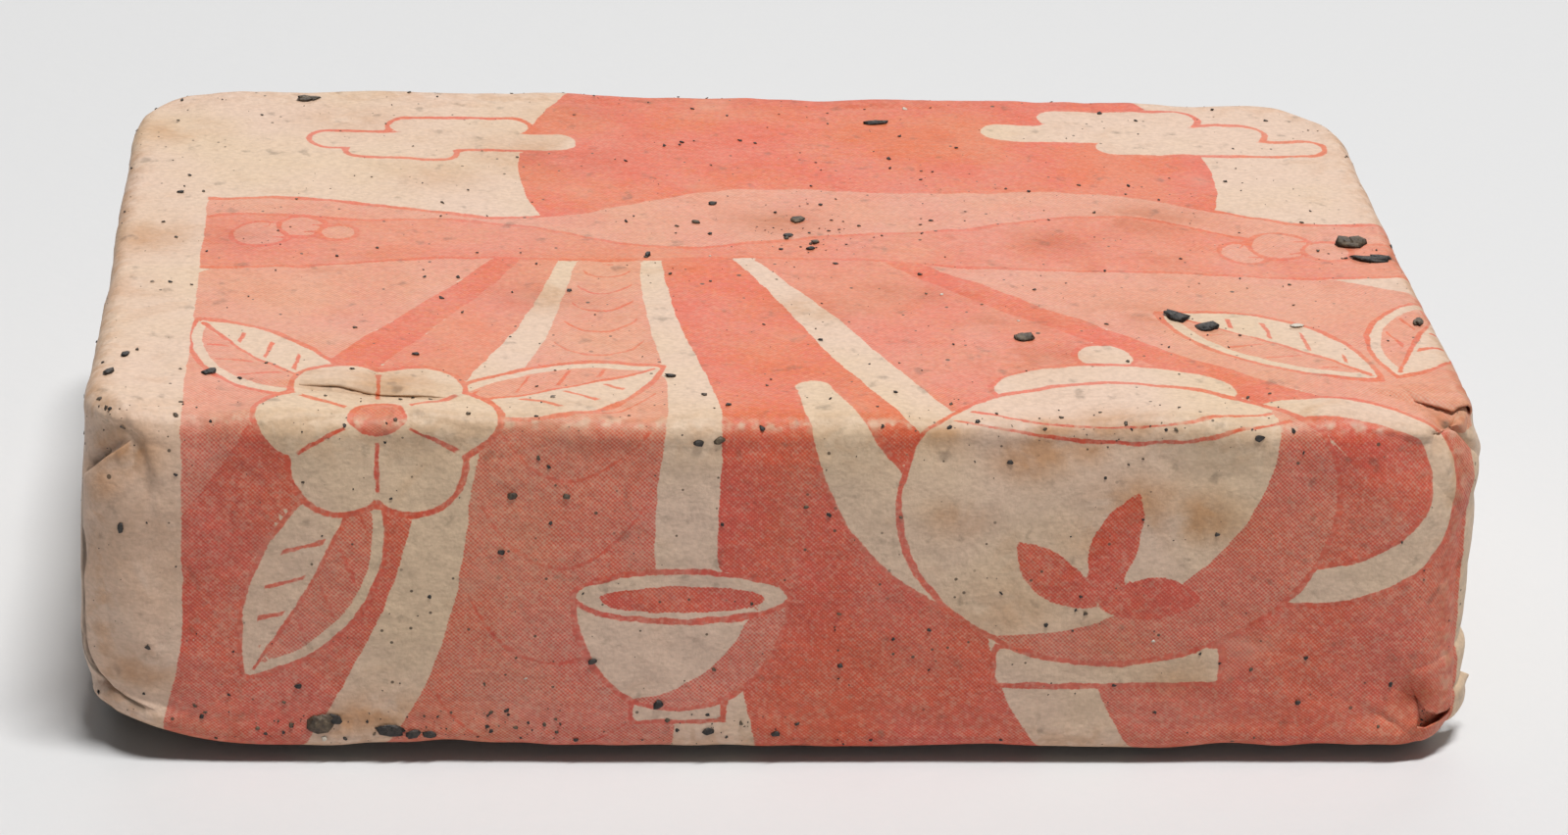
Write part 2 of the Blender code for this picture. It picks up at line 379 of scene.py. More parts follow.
    def seam(self, place: Array) -> Array:
        """Return the step of the long seam, where one layer ends on the underside.

        Args:
            place: Points on the rounded box.

        Returns:
            How far each point rises.
        """
        past = place[:, 1] - self.seam_y
        step = smooth(past, -self.seam_half_width, self.seam_half_width)
        step = step * (1.0 - smooth(past, *self.seam_fade))
        return self.seam_step * step * (1.0 - smooth(place[:, 2], 0.0, 1.0))

    def pressed(self, place: Array) -> Array:
        """Return places on the swollen brick, whose back is a little shorter than its front."""
        across = place[:, 1] / self.half[1]
        x = place[:, 0] * (1.0 - self.shorter * across)
        return np.column_stack([x, place[:, 1], place[:, 2] * (1.0 + self.taller)])

    def raised_edge(self, place: Array) -> Array:
        """Return how far the bottom edge stands clear of the floor, a little unevenly.

        Args:
            place: Points on the rounded box.

        Returns:
            How far each point rises.
        """
        inset = (self.half[:2] - np.abs(place[:, :2])).min(axis=1)
        share = 1.0 - smooth(inset, *self.lift_inset)
        share = share * (1.0 - smooth(place[:, 2], 0.0, self.lift_height))
        waves = np.ones(len(place))
        for number, (long, high) in enumerate(self.lift_waves):
            waves += high * rough(place, (long, long, 90.0), 7.0 + number)
        apart = (place[:, :2] - np.array(self.corner_place)) / np.array(self.corner_reach)
        corner = self.corner_lift * bell(np.hypot(*apart.T))
        corner = corner * (1.0 - smooth(place[:, 2], 0.0, self.corner_height))
        return self.edge_lift * share * waves + corner

    def on_sheet(self, s: Array, t: Array) -> Array:
        """Return the points of the sharp box at places of the sheet.

        Args:
            s: Places along the sheet.
            t: Places up the sheet.

        Returns:
            Points on the sharp box.
        """
        half_x, half_y, _ = self.half
        past = np.maximum(0.0, np.abs(s) - half_x)
        over = clamped(t, 0.0, self.depth)
        y = np.where(t < 0.0, past, over) - half_y
        z = self.height - np.where(t < 0.0, -t, past)
        under = t < -self.height
        y = np.where(under, -half_y - self.height - t, y)
        behind = t > self.depth
        y = np.where(behind, half_y - past, y)
        z = np.where(behind, self.height + self.depth - t, z)
        return np.column_stack([clamped(s, -half_x, half_x), y, np.maximum(z, 0.0)])

    def seat(self, sharp: Array) -> tuple[Array, Array]:
        """Return where the paper lies and the direction that it faces."""
        return self.shaped(sharp), self.outward(self.rounded(sharp))

    def fine_relief(self, place: Array, facing: Array) -> Array:
        """Return the height of the small hills, creases and wrinkles along the rims.

        Args:
            place: Points on the rounded box.
            facing: The direction that the paper faces at each place.

        Returns:
            Heights in millimetres.
        """
        moved = np.zeros(len(place))
        for number, (size, depth) in enumerate(self.fine_hills):
            moved += depth * rough(place, size, 5.0 + number)
        for crease in self.creases:
            moved += crease.height(place, facing)
        below = self.height - place[:, 2]
        inside = self.depth / 2 - np.abs(place[:, 1])
        near = bell(np.hypot(below, inside), self.rim_reach)
        near *= np.where(place[:, 1] < 0.0, 1.0, self.back_rim_share)
        for size, depth in self.rim_waves:
            moved += depth * near * rough(place, size, 3.0)
        return moved


class Tone(Enum):
    """How much ink a printed area takes."""

    BARE = 0
    LIGHT = 1
    MID = 2
    SOLID = 3


def ellipse(s: Array, t: Array, middle: Spot, half: Spot) -> Array:
    """Return the signed distance to an ellipse with these half axes."""
    across, up = s - middle[0], t - middle[1]
    share = np.hypot(across / half[0], up / half[1])
    slope = np.hypot(across / half[0] ** 2, up / half[1] ** 2)
    return share * (share - 1.0) / np.maximum(slope, 1e-6)


def block(s: Array, t: Array, middle: Spot, half: Spot) -> Array:
    """Return the signed distance to an upright rectangle."""
    return np.maximum(np.abs(s - middle[0]) - half[0], np.abs(t - middle[1]) - half[1])


def tube(s: Array, t: Array, path: tuple[Spot, ...], radii: Spot) -> Array:
    """Return the signed distance to a smooth bent tube that tapers.

    Args:
        s: Places along the sheet.
        t: Places up the sheet.
        path: The start, the middle control and the end of its curve.
        radii: Its radius at the start and at the end.

    Returns:
        The distance, negative inside.
    """
    nearest = np.full(len(s), 1e3)
    start, bend, end = (np.array(p) for p in path)
    parts = 36
    for number in range(parts + 1):
        share = number / parts
        here = (1 - share) ** 2 * start + 2 * share * (1 - share) * bend + share**2 * end
        radius = radii[0] + (radii[1] - radii[0]) * share
        nearest = np.minimum(nearest, np.hypot(s - here[0], t - here[1]) - radius)
    return nearest


@dataclass
class PrintPlate:
    """One colour of print, held as signed distances over the sheet.

    A tone is negative where it prints. A line is drawn where its field passes through
    zero, and only where its mask is negative.
    """

    s: Array
    t: Array
    far: float = 60.0
    stroke_room: float = 1.5
    tones: dict[Tone, Array] = field(init=False)
    lines: dict[str, Array] = field(init=False)
    masks: dict[str, Array] = field(init=False)

    def __post_init__(self) -> None:
        """Start with a bare sheet."""
        count = len(self.s)
        inked = (Tone.LIGHT, Tone.MID, Tone.SOLID)
        self.tones = {tone: np.full(count, self.far) for tone in inked}
        self.lines = {name: np.full(count, self.far) for name in LINE_LAYERS}
        self.masks = {name: np.full(count, self.far) for name in LINE_LAYERS}

    def paint(self, area: Array, tone: Tone) -> None:
        """Print an area in one tone over whatever lies below it."""
        for layer in self.tones:
            if layer.value <= tone.value:
                self.tones[layer] = np.minimum(self.tones[layer], area)
            else:
                self.tones[layer] = np.maximum(self.tones[layer], -area)

    def hide_lines(self, area: Array) -> None:
        """Take the lines out of an area."""
        for name, mask in self.masks.items():
            self.masks[name] = np.maximum(mask, -area)

    def draw(self, layer: str, line: Array, within: Array | None = None) -> None:
        """Draw a line where a field passes through zero.

        Args:
            layer: The line layer to draw on.
            line: The field, in millimetres from the line and signed.
            within: An area outside which the line isn't drawn.
        """
        mask = np.abs(line) - self.stroke_room
        if within is not None:
            mask = np.maximum(mask, within)
        old = np.abs(self.lines[layer]) + 4.0 * np.maximum(self.masks[layer], 0.0)
        nearer = np.abs(line) + 4.0 * np.maximum(mask, 0.0) < old
        self.lines[layer] = np.where(nearer, line, self.lines[layer])
        self.masks[layer] = np.where(nearer, mask, self.masks[layer])

    def shape(self, area: Array, tone: Tone, layer: str) -> None:
        """Print an outlined area over whatever lies below it."""
        self.hide_lines(area)
        self.paint(area, tone)
        self.draw(layer, area)

    def trim(self, outside: Array) -> None:
        """Leave the sheet bare wherever a field is positive."""
        for layer in self.tones:
            self.tones[layer] = np.maximum(self.tones[layer], outside)
        for name, mask in self.masks.items():
            self.masks[name] = np.maximum(mask, outside)

    def store(self, mesh: bpy.types.Mesh) -> None:
        """Write every layer to the mesh as an attribute of its vertices."""
        layers = {f"{tone.name.lower()}_tone": area for tone, area in self.tones.items()}
        layers |= self.lines
        layers |= {f"{name}_mask": mask for name, mask in self.masks.items()}
        for name, values in layers.items():
            write_layer(mesh, name, clamped(values, -self.far, self.far))


@dataclass(frozen=True)
class Leaf:
    """A printed tea leaf, from its stalk to its tip."""

    stalk: Spot
    tip: Spot
    half_width: float
    layer: str
    bend: float = 0.10
    vein_gap: float = 5.2
    vein_slant: float = 0.9

    def local(self, s: Array, t: Array) -> tuple[Array, Array, float]:
        """Return places along and across the leaf, and half of its length.

        Args:
            s: Places along the sheet.
            t: Places up the sheet.

        Returns:
            The places along and across, and the half length.
        """
        run = np.subtract(self.tip, self.stalk)
        length = float(np.hypot(*run))
        along_x, along_y = run / length
        from_s, from_t = s - self.stalk[0], t - self.stalk[1]
        along = from_s * along_x + from_t * along_y - length / 2
        across = from_t * along_x - from_s * along_y
        across = across + self.bend * (along**2 / (length / 2) - length / 2)
        return along, across, length / 2

    def area(self, s: Array, t: Array) -> Array:
        """Return the signed distance to the leaf's edge."""
        along, across, half = self.local(s, t)
        radius = (half**2 + self.half_width**2) / (2 * self.half_width)
        back = radius - self.half_width
        one = np.hypot(along, across + back) - radius
        other = np.hypot(along, across - back) - radius
        return np.maximum(one, other)

    def print_on(self, plate: PrintPlate) -> None:
        """Print the leaf: bare paper, one half tinted, with its veins."""
        area = self.area(plate.s, plate.t)
        plate.shape(area, Tone.BARE, self.layer)
        along, across, _ = self.local(plate.s, plate.t)
        plate.paint(np.maximum(area + 1.6, -across), Tone.LIGHT)
        plate.draw("vein_line", across, area + 0.8)
        phase = (along - self.vein_slant * np.abs(across)) * np.pi / self.vein_gap
        comb = np.sin(phase) * self.vein_gap / np.pi * 0.8
        plate.draw("row_line", comb, np.maximum(area + 2.0, 0.9 - np.abs(across)))


@dataclass(frozen=True)
class Row:
    """One strip of the tea garden, between two rays from the vanishing point."""

    left: float
    right: float
    tone: Tone
    bushes: float = 0.0


@dataclass(frozen=True)
class SkyPrint:
    """The upper part of the design: a large sun, clouds, and ranges of hills."""

    sun_place: Spot = (15.0, 74.0)
    sun_radius: float = 45.0
    far_ridge: float = 64.0
    near_ridge: float = 54.0
    clouds: tuple[tuple[float, float, float, float], ...] = (
        (-54.0, -25.0, 82.0, 3.0),
        (-44.0, -31.0, 86.8, 2.8),
        (-50.0, -40.0, 78.2, 2.2),
        (34.0, 66.0, 87.0, 3.2),
        (42.0, 58.0, 92.0, 3.0),
        (48.0, 74.0, 82.6, 2.4),
    )
    trees: tuple[tuple[float, float, float], ...] = (
        (-62.0, 52.0, 3.6),
        (-57.0, 54.4, 3.0),
        (-52.5, 52.8, 2.4),
        (60.0, 49.5, 3.2),
        (65.0, 51.6, 4.0),
        (70.5, 49.8, 3.0),
    )

    @staticmethod
    def ridge(s: Array, level: float, waves: tuple[tuple[float, float, float], ...]) -> Array:
        """Return the height of a row of hills.

        Args:
            s: Places along the sheet.
            level: The mean height.
            waves: Height, length and start of each swell.

        Returns:
            The ridge's t at each place.
        """
        return level + sum(high * np.sin(s / long + start) for high, long, start in waves)

    def print_on(self, plate: PrintPlate) -> None:
        """Print the sky and the hills.

        Args:
            plate: The plate to print on.
        """
        s, t = plate.s, plate.t
        plate.paint(ellipse(s, t, self.sun_place, (self.sun_radius,) * 2), Tone.SOLID)
        cloud = np.full(len(s), plate.far)
        for start, end, level, radius in self.clouds:
            bar = np.hypot(s - clamped(s, start, end), t - level) - radius
            cloud = np.minimum(cloud, bar)
        plate.shape(cloud, Tone.BARE, "ridge_line")
        far = t - self.ridge(s, self.far_ridge, ((4.6, 19.0, 0.6), (2.0, 8.0, 2.0)))
        plate.shape(far * 0.93, Tone.LIGHT, "ridge_line")
        near = t - self.ridge(s, self.near_ridge, ((4.2, 15.0, -1.2), (1.4, 6.0, 0.5)))
        plate.shape(near * 0.93, Tone.MID, "leaf_line")
        for across, up, radius in self.trees:
            crown = np.hypot(s - across, t - up) - radius
            plate.shape(crown, Tone.LIGHT, "twin_line")


@dataclass(frozen=True)
class FieldPrint:
    """The rows of the tea garden, which run from the hills over the front edge."""

    field_top: float = 44.0
    vanishing: Spot = (-16.0, 74.0)
    rows: tuple[Row, ...] = (
        Row(-1.60, -0.62, Tone.LIGHT),
        Row(-0.62, -0.50, Tone.SOLID),
        Row(-0.50, -0.32, Tone.MID),
        Row(-0.32, -0.24, Tone.BARE),
        Row(-0.24, 0.02, Tone.LIGHT, 8.0),
        Row(0.02, 0.10, Tone.BARE),
        Row(0.10, 0.40, Tone.SOLID),
        Row(0.40, 0.50, Tone.BARE),
        Row(0.50, 1.02, Tone.MID),
        Row(1.02, 1.16, Tone.SOLID),
        Row(1.16, 2.60, Tone.LIGHT),
    )

    def ray(self, plate: PrintPlate, slope: float) -> Array:
        """Return the signed distance to one boundary between rows."""
        ahead = np.maximum(self.vanishing[1] - plate.t, 2.0)
        wobble = 1.1 * np.sin(plate.t / 8.0 + 7.0 * slope) * ahead / 90.0
        across = plate.s - self.vanishing[0] - slope * ahead - wobble
        return across / math.hypot(1.0, slope)

    def print_on(self, plate: PrintPlate) -> None:
        """Print the rows, some with rounded bushes.

        Args:
            plate: The plate to print on.
        """
        s, t = plate.s, plate.t
        level = SkyPrint.ridge(s, self.field_top, ((1.8, 24.0, 2.0), (0.7, 7.0, 1.0)))
        ground = t - level
        plate.hide_lines(ground)
        plate.paint(ground, Tone.BARE)
        ahead = np.maximum(self.vanishing[1] - t, 4.0)
        for row in self.rows:
            left, right = self.ray(plate, row.left), self.ray(plate, row.right)
            plate.paint(np.maximum(np.maximum(-left, right), ground), row.tone)
            if row.bushes:
                middle = (left + right) / np.maximum(left - right, 1.0)
                index = np.log(ahead / 30.0) * row.bushes + 0.9 * middle**2
                gap = ahead / row.bushes
                rung = np.sin(np.pi * index) * gap / np.pi
                inside = np.maximum(np.maximum(-left, right) + 1.2, ground + 1.0)
                plate.draw("row_line", rung, inside)
        plate.draw("twin_line", ground)


@dataclass(frozen=True)
class PotPrint:
    """A teapot and a cup, large in the foreground on the right."""

    pot_place: Spot = (38.0, -10.0)
    pot_half: Spot = (25.5, 20.5)
    foot_half: Spot = (13.5, 2.6)
    lid_half: Spot = (14.5, 5.2)
    knob_radius: float = 3.6
    spout: tuple[Spot, ...] = ((20.0, -17.0), (6.0, -12.0), (3.0, 9.0))
    spout_radii: Spot = (6.5, 2.4)
    handle_place: Spot = (61.0, -8.0)
    handle_half: Spot = (16.0, 12.5)
    handle_radius: float = 2.6
    cup_place: Spot = (-12.0, -22.0)
    cup_half: Spot = (12.5, 15.0)
    tea_half: Spot = (9.6, 1.7)
    rim_half: Spot = (12.5, 3.2)

    def print_pot(self, plate: PrintPlate) -> None:
        """Print the teapot.

        Args:
            plate: The plate to print on.
        """
        s, t = plate.s, plate.t
        across, up = self.pot_place
        plate.shape(tube(s, t, self.spout, self.spout_radii), Tone.BARE, "ridge_line")
        grip = np.abs(ellipse(s, t, self.handle_place, self.handle_half)) - self.handle_radius
        plate.shape(grip, Tone.BARE, "leaf_line")
        foot = block(s, t, (across, up - self.pot_half[1] - 0.4), self.foot_half)
        plate.shape(foot, Tone.BARE, "ridge_line")
        knob = ellipse(s, t, (across, up + 28.0), (self.knob_radius,) * 2)
        plate.shape(knob, Tone.BARE, "twin_line")
        lid = ellipse(s, t, (across, up + 19.0), (self.lid_half[0], self.lid_half[1] + 1.5))
        plate.shape(lid, Tone.BARE, "leaf_line")
        body = ellipse(s, t, self.pot_place, self.pot_half)
        plate.shape(body, Tone.BARE, "twin_line")
        shade = np.hypot(s - across + 13.0, (t - up - 9.0) * 1.2) - 31.0
        plate.paint(np.maximum(body + 0.2, -shade), Tone.LIGHT)
        ring = ellipse(s, t, (across, up + 30.0), (30.0, 20.0))
        plate.draw("vein_line", ring, body + 1.0)
        plate.draw("row_line", ring - 2.6, body + 1.0)
        for turn, size in ((-0.9, 13.0), (0.25, 15.0), (1.5, 12.0)):
            start = (across - 1.5, up - 13.0)
            tip = (start[0] + size * math.sin(turn), start[1] + size * math.cos(turn))
            plate.paint(Leaf(start, tip, 2.7, "ridge_line").area(s, t), Tone.SOLID)

    def print_cup(self, plate: PrintPlate) -> None:
        """Print the cup, full of tea.

        Args:
            plate: The plate to print on.
        """
        s, t = plate.s, plate.t
        across, up = self.cup_place
        foot = block(s, t, (across, up - self.cup_half[1] + 0.2), (5.4, 2.4))
        plate.shape(foot, Tone.BARE, "ridge_line")
        bowl = np.maximum(ellipse(s, t, self.cup_place, self.cup_half), t - up)
        plate.shape(bowl, Tone.BARE, "leaf_line")
        shade = np.hypot(s - across + 7.0, t - up - 2.0) - 15.5
        plate.paint(np.maximum(bowl + 0.2, -shade), Tone.LIGHT)
        rim = ellipse(s, t, self.cup_place, self.rim_half)
        plate.shape(rim, Tone.BARE, "twin_line")
        plate.paint(ellipse(s, t, (across, up - 0.4), self.tea_half), Tone.SOLID)


@dataclass(frozen=True)
class SprigPrint:
    """A flowering sprig on the left and a bare one at the right edge."""

    leaves: tuple[Leaf, ...] = (
        Leaf((-50.0, 5.0), (-68.5, 27.0), 6.6, "leaf_line", 0.10),
        Leaf((-41.0, 4.0), (-14.0, 15.0), 6.6, "leaf_line", -0.10),
        Leaf((-48.0, -5.0), (-62.0, -33.0), 6.8, "ridge_line", 0.08),
        Leaf((70.0, 12.0), (46.0, 31.0), 6.4, "leaf_line", -0.08),
        Leaf((72.0, 13.0), (84.0, 36.0), 6.0, "ridge_line", 0.08),
    )
    flower_place: Spot = (-47.0, 1.0)
    petals: int = 6
    petal_radius: float = 6.0
    petal_reach: float = 8.0
    heart_radius: float = 3.0

    def print_on(self, plate: PrintPlate) -> None:
        """Print the leaves and the tea flower.

        Args:
            plate: The plate to print on.
        """
        for leaf in self.leaves:
            leaf.print_on(plate)
        s, t = plate.s - self.flower_place[0], plate.t - self.flower_place[1]
        petals = np.full(len(s), plate.far)
        for number in range(self.petals):
            turn = math.tau * number / self.petals
            across, up = self.petal_reach * math.cos(turn), self.petal_reach * math.sin(turn)
            petals = np.minimum(petals, np.hypot(s - across, t - up) - self.petal_radius)
        plate.shape(petals, Tone.BARE, "twin_line")
        angle = np.arctan2(t, s) + math.pi / self.petals
        apart = np.hypot(s, t)
        between = apart * np.sin(angle * self.petals / 2) * 2 / self.petals
        plate.draw("row_line", between, np.maximum(petals + 1.0, 4.2 - apart))
        plate.shape(apart - self.heart_radius, Tone.MID, "vein_line")


@dataclass(frozen=True)
class GardenPrint:
    """The whole printed design, and the bare margins round it."""

    left_edge: float = -69.0
    left_slant: float = 2.3
    right_edge: float = 83.6
    back_edge: float = 113.0
    front_edge: float = -52.0
    sky: SkyPrint = SkyPrint()
    garden: FieldPrint = FieldPrint()
    pot: PotPrint = PotPrint()
    sprig: SprigPrint = SprigPrint()

    def print_on(self, plate: PrintPlate) -> None:
        """Print the whole design on a plate."""
        self.sky.print_on(plate)
        self.garden.print_on(plate)
        self.sprig.print_on(plate)
        self.pot.print_cup(plate)
        self.pot.print_pot(plate)
        left = self.left_edge - self.left_slant * smooth(plate.t, -24.0, -44.0)
        sides = np.maximum(left - plate.s, plate.s - self.right_edge)
        ends = np.maximum(plate.t - self.back_edge, self.front_edge - plate.t)
        plate.trim(np.maximum(sides, ends))


def linear(red: float, green: float, blue: float) -> tuple[float, float, float, float]:
    """Return a colour given in 0 to 255 screen values as linear red, green, blue, 1."""
    parts = []
    for value in (red, green, blue):
        share = value / 255
        parts.append(share / 12.92 if share <= 0.04045 else ((share + 0.055) / 1.055) ** 2.4)
    return (*parts, 1.0)


class Recipe:
    """Builds the nodes of one material."""

    def __init__(self, name: str) -> None:
        """Start a material with a plain Principled shader."""
        self.material = bpy.data.materials.new(name)
        self.material.use_nodes = True
        self.tree = self.material.node_tree
        self.shader = self.tree.nodes["Principled BSDF"]

    def put(self, socket: bpy.types.NodeSocket, value: object) -> None:
        """Set a socket to a number or a colour, or link it to another socket."""
        if isinstance(value, bpy.types.NodeSocket):
            self.tree.links.new(value, socket)
        else:
            socket.default_value = value

    def math(self, kind: str, *values: object) -> bpy.types.NodeSocket:
        """Return the result of a Math node."""
        node = self.tree.nodes.new("ShaderNodeMath")
        node.operation = kind
        for socket, value in zip(node.inputs, values):
            self.put(socket, value)
        return node.outputs[0]

    def times(self, one: object, other: object) -> bpy.types.NodeSocket:
        """Return the product of two values."""
        return self.math("MULTIPLY", one, other)

    def plus(self, one: object, other: object) -> bpy.types.NodeSocket:
        """Return the sum of two values."""
        return self.math("ADD", one, other)

    def step(self, value: object, start: float, end: float) -> bpy.types.NodeSocket:
        """Return 0 at start, 1 at end and a smooth change between them."""
        node = self.tree.nodes.new("ShaderNodeMapRange")
        node.interpolation_type = "SMOOTHSTEP"
        for name, part in (("Value", value), ("From Min", start), ("From Max", end)):
            self.put(node.inputs[name], part)
        return node.outputs[0]

    def mix(self, share: object, one: object, other: object, kind: str = "MIX") -> object:
        """Return a mix of two colours."""
        node = self.tree.nodes.new("ShaderNodeMix")
        node.data_type = "RGBA"
        node.blend_type = kind
        self.put(node.inputs["Factor"], share)
        self.put(node.inputs[6], one)
        self.put(node.inputs[7], other)
        return node.outputs[2]

    def place(self, stretch: Point = (1.0, 1.0, 1.0), turn: float = 0.0) -> object:
        """Return Object coordinates, stretched and turned about the upright."""
        source = self.tree.nodes.new("ShaderNodeTexCoord")
        node = self.tree.nodes.new("ShaderNodeMapping")
        node.inputs["Scale"].default_value = stretch
        node.inputs["Rotation"].default_value = (0.0, 0.0, turn)
        self.put(node.inputs["Vector"], source.outputs["Object"])
        return node.outputs[0]

    def sheet(self, name: str) -> bpy.types.NodeSocket:
        """Return a UV map of the piece."""
        node = self.tree.nodes.new("ShaderNodeUVMap")
        node.uv_map = name
        return node.outputs[0]

    def layer(self, name: str) -> bpy.types.NodeSocket:
        """Return a layer of the print, read from the mesh."""
        node = self.tree.nodes.new("ShaderNodeAttribute")
        node.attribute_name = name
        return node.outputs["Fac"]

    def noise(
        self, vector: object, scale: float, detail: float = 2.0, distortion: float = 0.0
    ) -> bpy.types.NodeSocket:
        """Return a noise texture's value."""
        node = self.tree.nodes.new("ShaderNodeTexNoise")
        self.put(node.inputs["Vector"], vector)
        node.inputs["Scale"].default_value = scale
        node.inputs["Detail"].default_value = detail
        node.inputs["Distortion"].default_value = distortion
        return node.outputs[0]

    def grain(self, scale: float, detail: float, distortion: float = 0.0) -> object:
        """Return noise over the piece's own coordinates."""
        return self.noise(self.place(), scale, detail, distortion)

    def swing(self, scale: float, amount: float, detail: float = 2.0) -> bpy.types.NodeSocket:
        """Return noise centred on zero, this much from its least to its greatest."""
        return self.math("MULTIPLY_ADD", self.grain(scale, detail), amount, -amount / 2)

    def cells(self, vector: object, scale: float) -> tuple[object, object]:
        """Return the distance to the nearest of many scattered points, and its colour."""
        node = self.tree.nodes.new("ShaderNodeTexVoronoi")
        self.put(node.inputs["Vector"], vector)
        node.inputs["Scale"].default_value = scale
        return node.outputs["Distance"], node.outputs["Color"]

    def surface(self, colour: object, roughness: float, specular: float = 0.5) -> None:
        """Set the shader's colour, roughness and strength of reflection."""
        self.put(self.shader.inputs["Base Color"], colour)
        self.put(self.shader.inputs["Roughness"], roughness)
        self.put(self.shader.inputs["Specular IOR Level"], specular)

    def bump(self, height: object, distance_m: float, strength: float = 1.0) -> None:
        """Roughen the shader's surface by a height."""
        node = self.tree.nodes.new("ShaderNodeBump")
        node.inputs["Strength"].default_value = strength
        node.inputs["Distance"].default_value = distance_m
        self.put(node.inputs["Height"], height)
        self.put(self.shader.inputs["Normal"], node.outputs[0])


@dataclass(frozen=True)
class PaperFinish:
    """Old, thin, unvarnished wrapping paper, printed in one coral ink."""

    paper: tuple = linear(210, 182, 157)
    paper_pink: tuple = linear(212, 182, 163)
    paper_yellow: tuple = linear(208, 181, 148)
    ink_pink: tuple = (0.90, 0.165, 0.14, 1.0)
    ink_orange: tuple = (0.94, 0.185, 0.11, 1.0)
    ink_deep: tuple = (0.90, 0.70, 0.70, 1.0)
    # Paler inks for the top face: partly fading, partly painted sheen.
    sheen_faded_pink: tuple = (1.0, 0.265, 0.195, 1.0)
    sheen_faded_orange: tuple = (1.0, 0.30, 0.145, 1.0)
    # Brown of the tea stains, also used for the painted shade over the left part of the front.
    stain_and_shade_tint: tuple = (0.77, 0.58, 0.40, 1.0)
    # Dark dust, also the colour of the painted shade.
    dust_and_shade: tuple = linear(88, 72, 56)
    light_cover: float = 0.80
    mid_cover: float = 0.91
    edge_blur: float = 0.09
    edge_wobble: float = 0.30
    edge_shift: float = 0.65
    line_half_width: float = 0.38
    line_swell: float = 0.55
    line_cover: float = 0.96
    thin_line: float = 0.12
    mask_blur: float = 0.12
    screen_pitch_m: float = 0.00036
    screen_depth: float = 0.40
    screen_skew: float = 0.7
    screen_gain: float = 2.4
    screen_least: float = 0.36
    screen_fade_and_sheen: float = 0.5
    fade_and_sheen_depth: float = 1.20
    ink_least: float = 0.89
    ink_unevenness: float = 0.14
    fleck_share: float = 0.55
    # How much ink the rim band takes off: wear, and along the front top rim partly a painted
    # highlight.
    rim_share: float = 0.75
    wear: float = 0.52
    wear_saved_on_top: float = 0.25
    faint_stain_and_shade: float = 0.40
    most_stain_and_shade: float = 0.95
    dirt_depth: float = 0.42
    speck_depth: float = 0.9
    speck_kinds: tuple[Spot, ...] = ((900.0, 0.18), (430.0, 0.13))
    roughness: float = 0.55
    specular: float = 0.40
    bump_m: float = 0.00042
    tooth: float = 0.12

    def ink_cover(self, recipe: Recipe) -> object:
        """Return how much ink covers the paper at each place."""
        wobble = recipe.swing(2600.0, self.edge_wobble)
        shift = recipe.swing(360.0, self.edge_shift)
        shares = (
            ("light_tone", self.light_cover),
            ("mid_tone", self.mid_cover - self.light_cover),
            ("solid_tone", 1.0 - self.mid_cover),
        )
        cover: object = 0.0
        for name, share in shares:
            edge = recipe.plus(recipe.plus(recipe.layer(name), shift), wobble)
            inside = recipe.step(edge, self.edge_blur, -self.edge_blur)
            cover = recipe.math("MULTIPLY_ADD", inside, share, cover)
        gap = recipe.times(cover, recipe.math("SUBTRACT", 1.0, cover))
        # On the top face the tints print paler: partly fading, partly painted sheen.
        top_fade_and_sheen = recipe.times(recipe.layer("top_fade_and_sheen"), self.fade_and_sheen_depth)
        cover = recipe.math("SUBTRACT", cover, recipe.times(gap, top_fade_and_sheen))
        cover = self.screened(recipe, cover)
        return self.lined(recipe, cover, shift, wobble)

    def lined(self, recipe: Recipe, cover: object, shift: object, wobble: object) -> object:
        """Return the cover with the drawn lines over it, of uneven width."""
        swell = recipe.math("SUBTRACT", recipe.swing(260.0, self.line_swell), self.line_half_width)
        for name in LINE_LAYERS:
            apart = recipe.math("ABSOLUTE", recipe.plus(recipe.layer(name), shift))
            thin = self.thin_line if name in ("vein_line", "row_line") else 0.0
            apart = recipe.plus(apart, recipe.plus(swell, thin))
            apart = recipe.plus(apart, wobble)
            line = recipe.step(apart, self.edge_blur, -self.edge_blur)
            mask = recipe.plus(recipe.layer(f"{name}_mask"), shift)
            shown = recipe.step(mask, self.mask_blur, -self.mask_blur)
            line = recipe.times(recipe.times(line, shown), self.line_cover)
            cover = recipe.math("MAXIMUM", cover, line)
        return cover

    def screened(self, recipe: Recipe, cover: object) -> object:
        """Return the cover broken up by the dot screen, which runs at 45 degrees."""
        node = recipe.tree.nodes.new("ShaderNodeSeparateXYZ")
        recipe.put(node.inputs[0], recipe.sheet("sheet"))
        turns = math.tau / (self.screen_pitch_m * math.sqrt(2.0))
        across = recipe.times(node.outputs[0], turns)
        along = recipe.times(node.outputs[1], turns)
        waves = recipe.math("SINE", recipe.plus(across, along))
        other = recipe.math("SINE", recipe.math("SUBTRACT", across, along))
        both = recipe.math("MULTIPLY_ADD", other, self.screen_skew, waves)
        screen = recipe.times(both, self.screen_depth)
        room = recipe.times(cover, recipe.math("SUBTRACT", 1.02, cover))
        room = recipe.math("MAXIMUM", recipe.times(room, self.screen_gain), self.screen_least)
        room = recipe.times(room, recipe.step(cover, 0.02, 0.3))
        # The screen is weaker on the top face, as part of its fading and painted sheen.
        top_fade_and_sheen = recipe.math("MULTIPLY_ADD", recipe.layer("top_fade_and_sheen"), -self.screen_fade_and_sheen, 1.0)
        room = recipe.times(room, top_fade_and_sheen)
        return recipe.math("MULTIPLY_ADD", screen, room, cover)

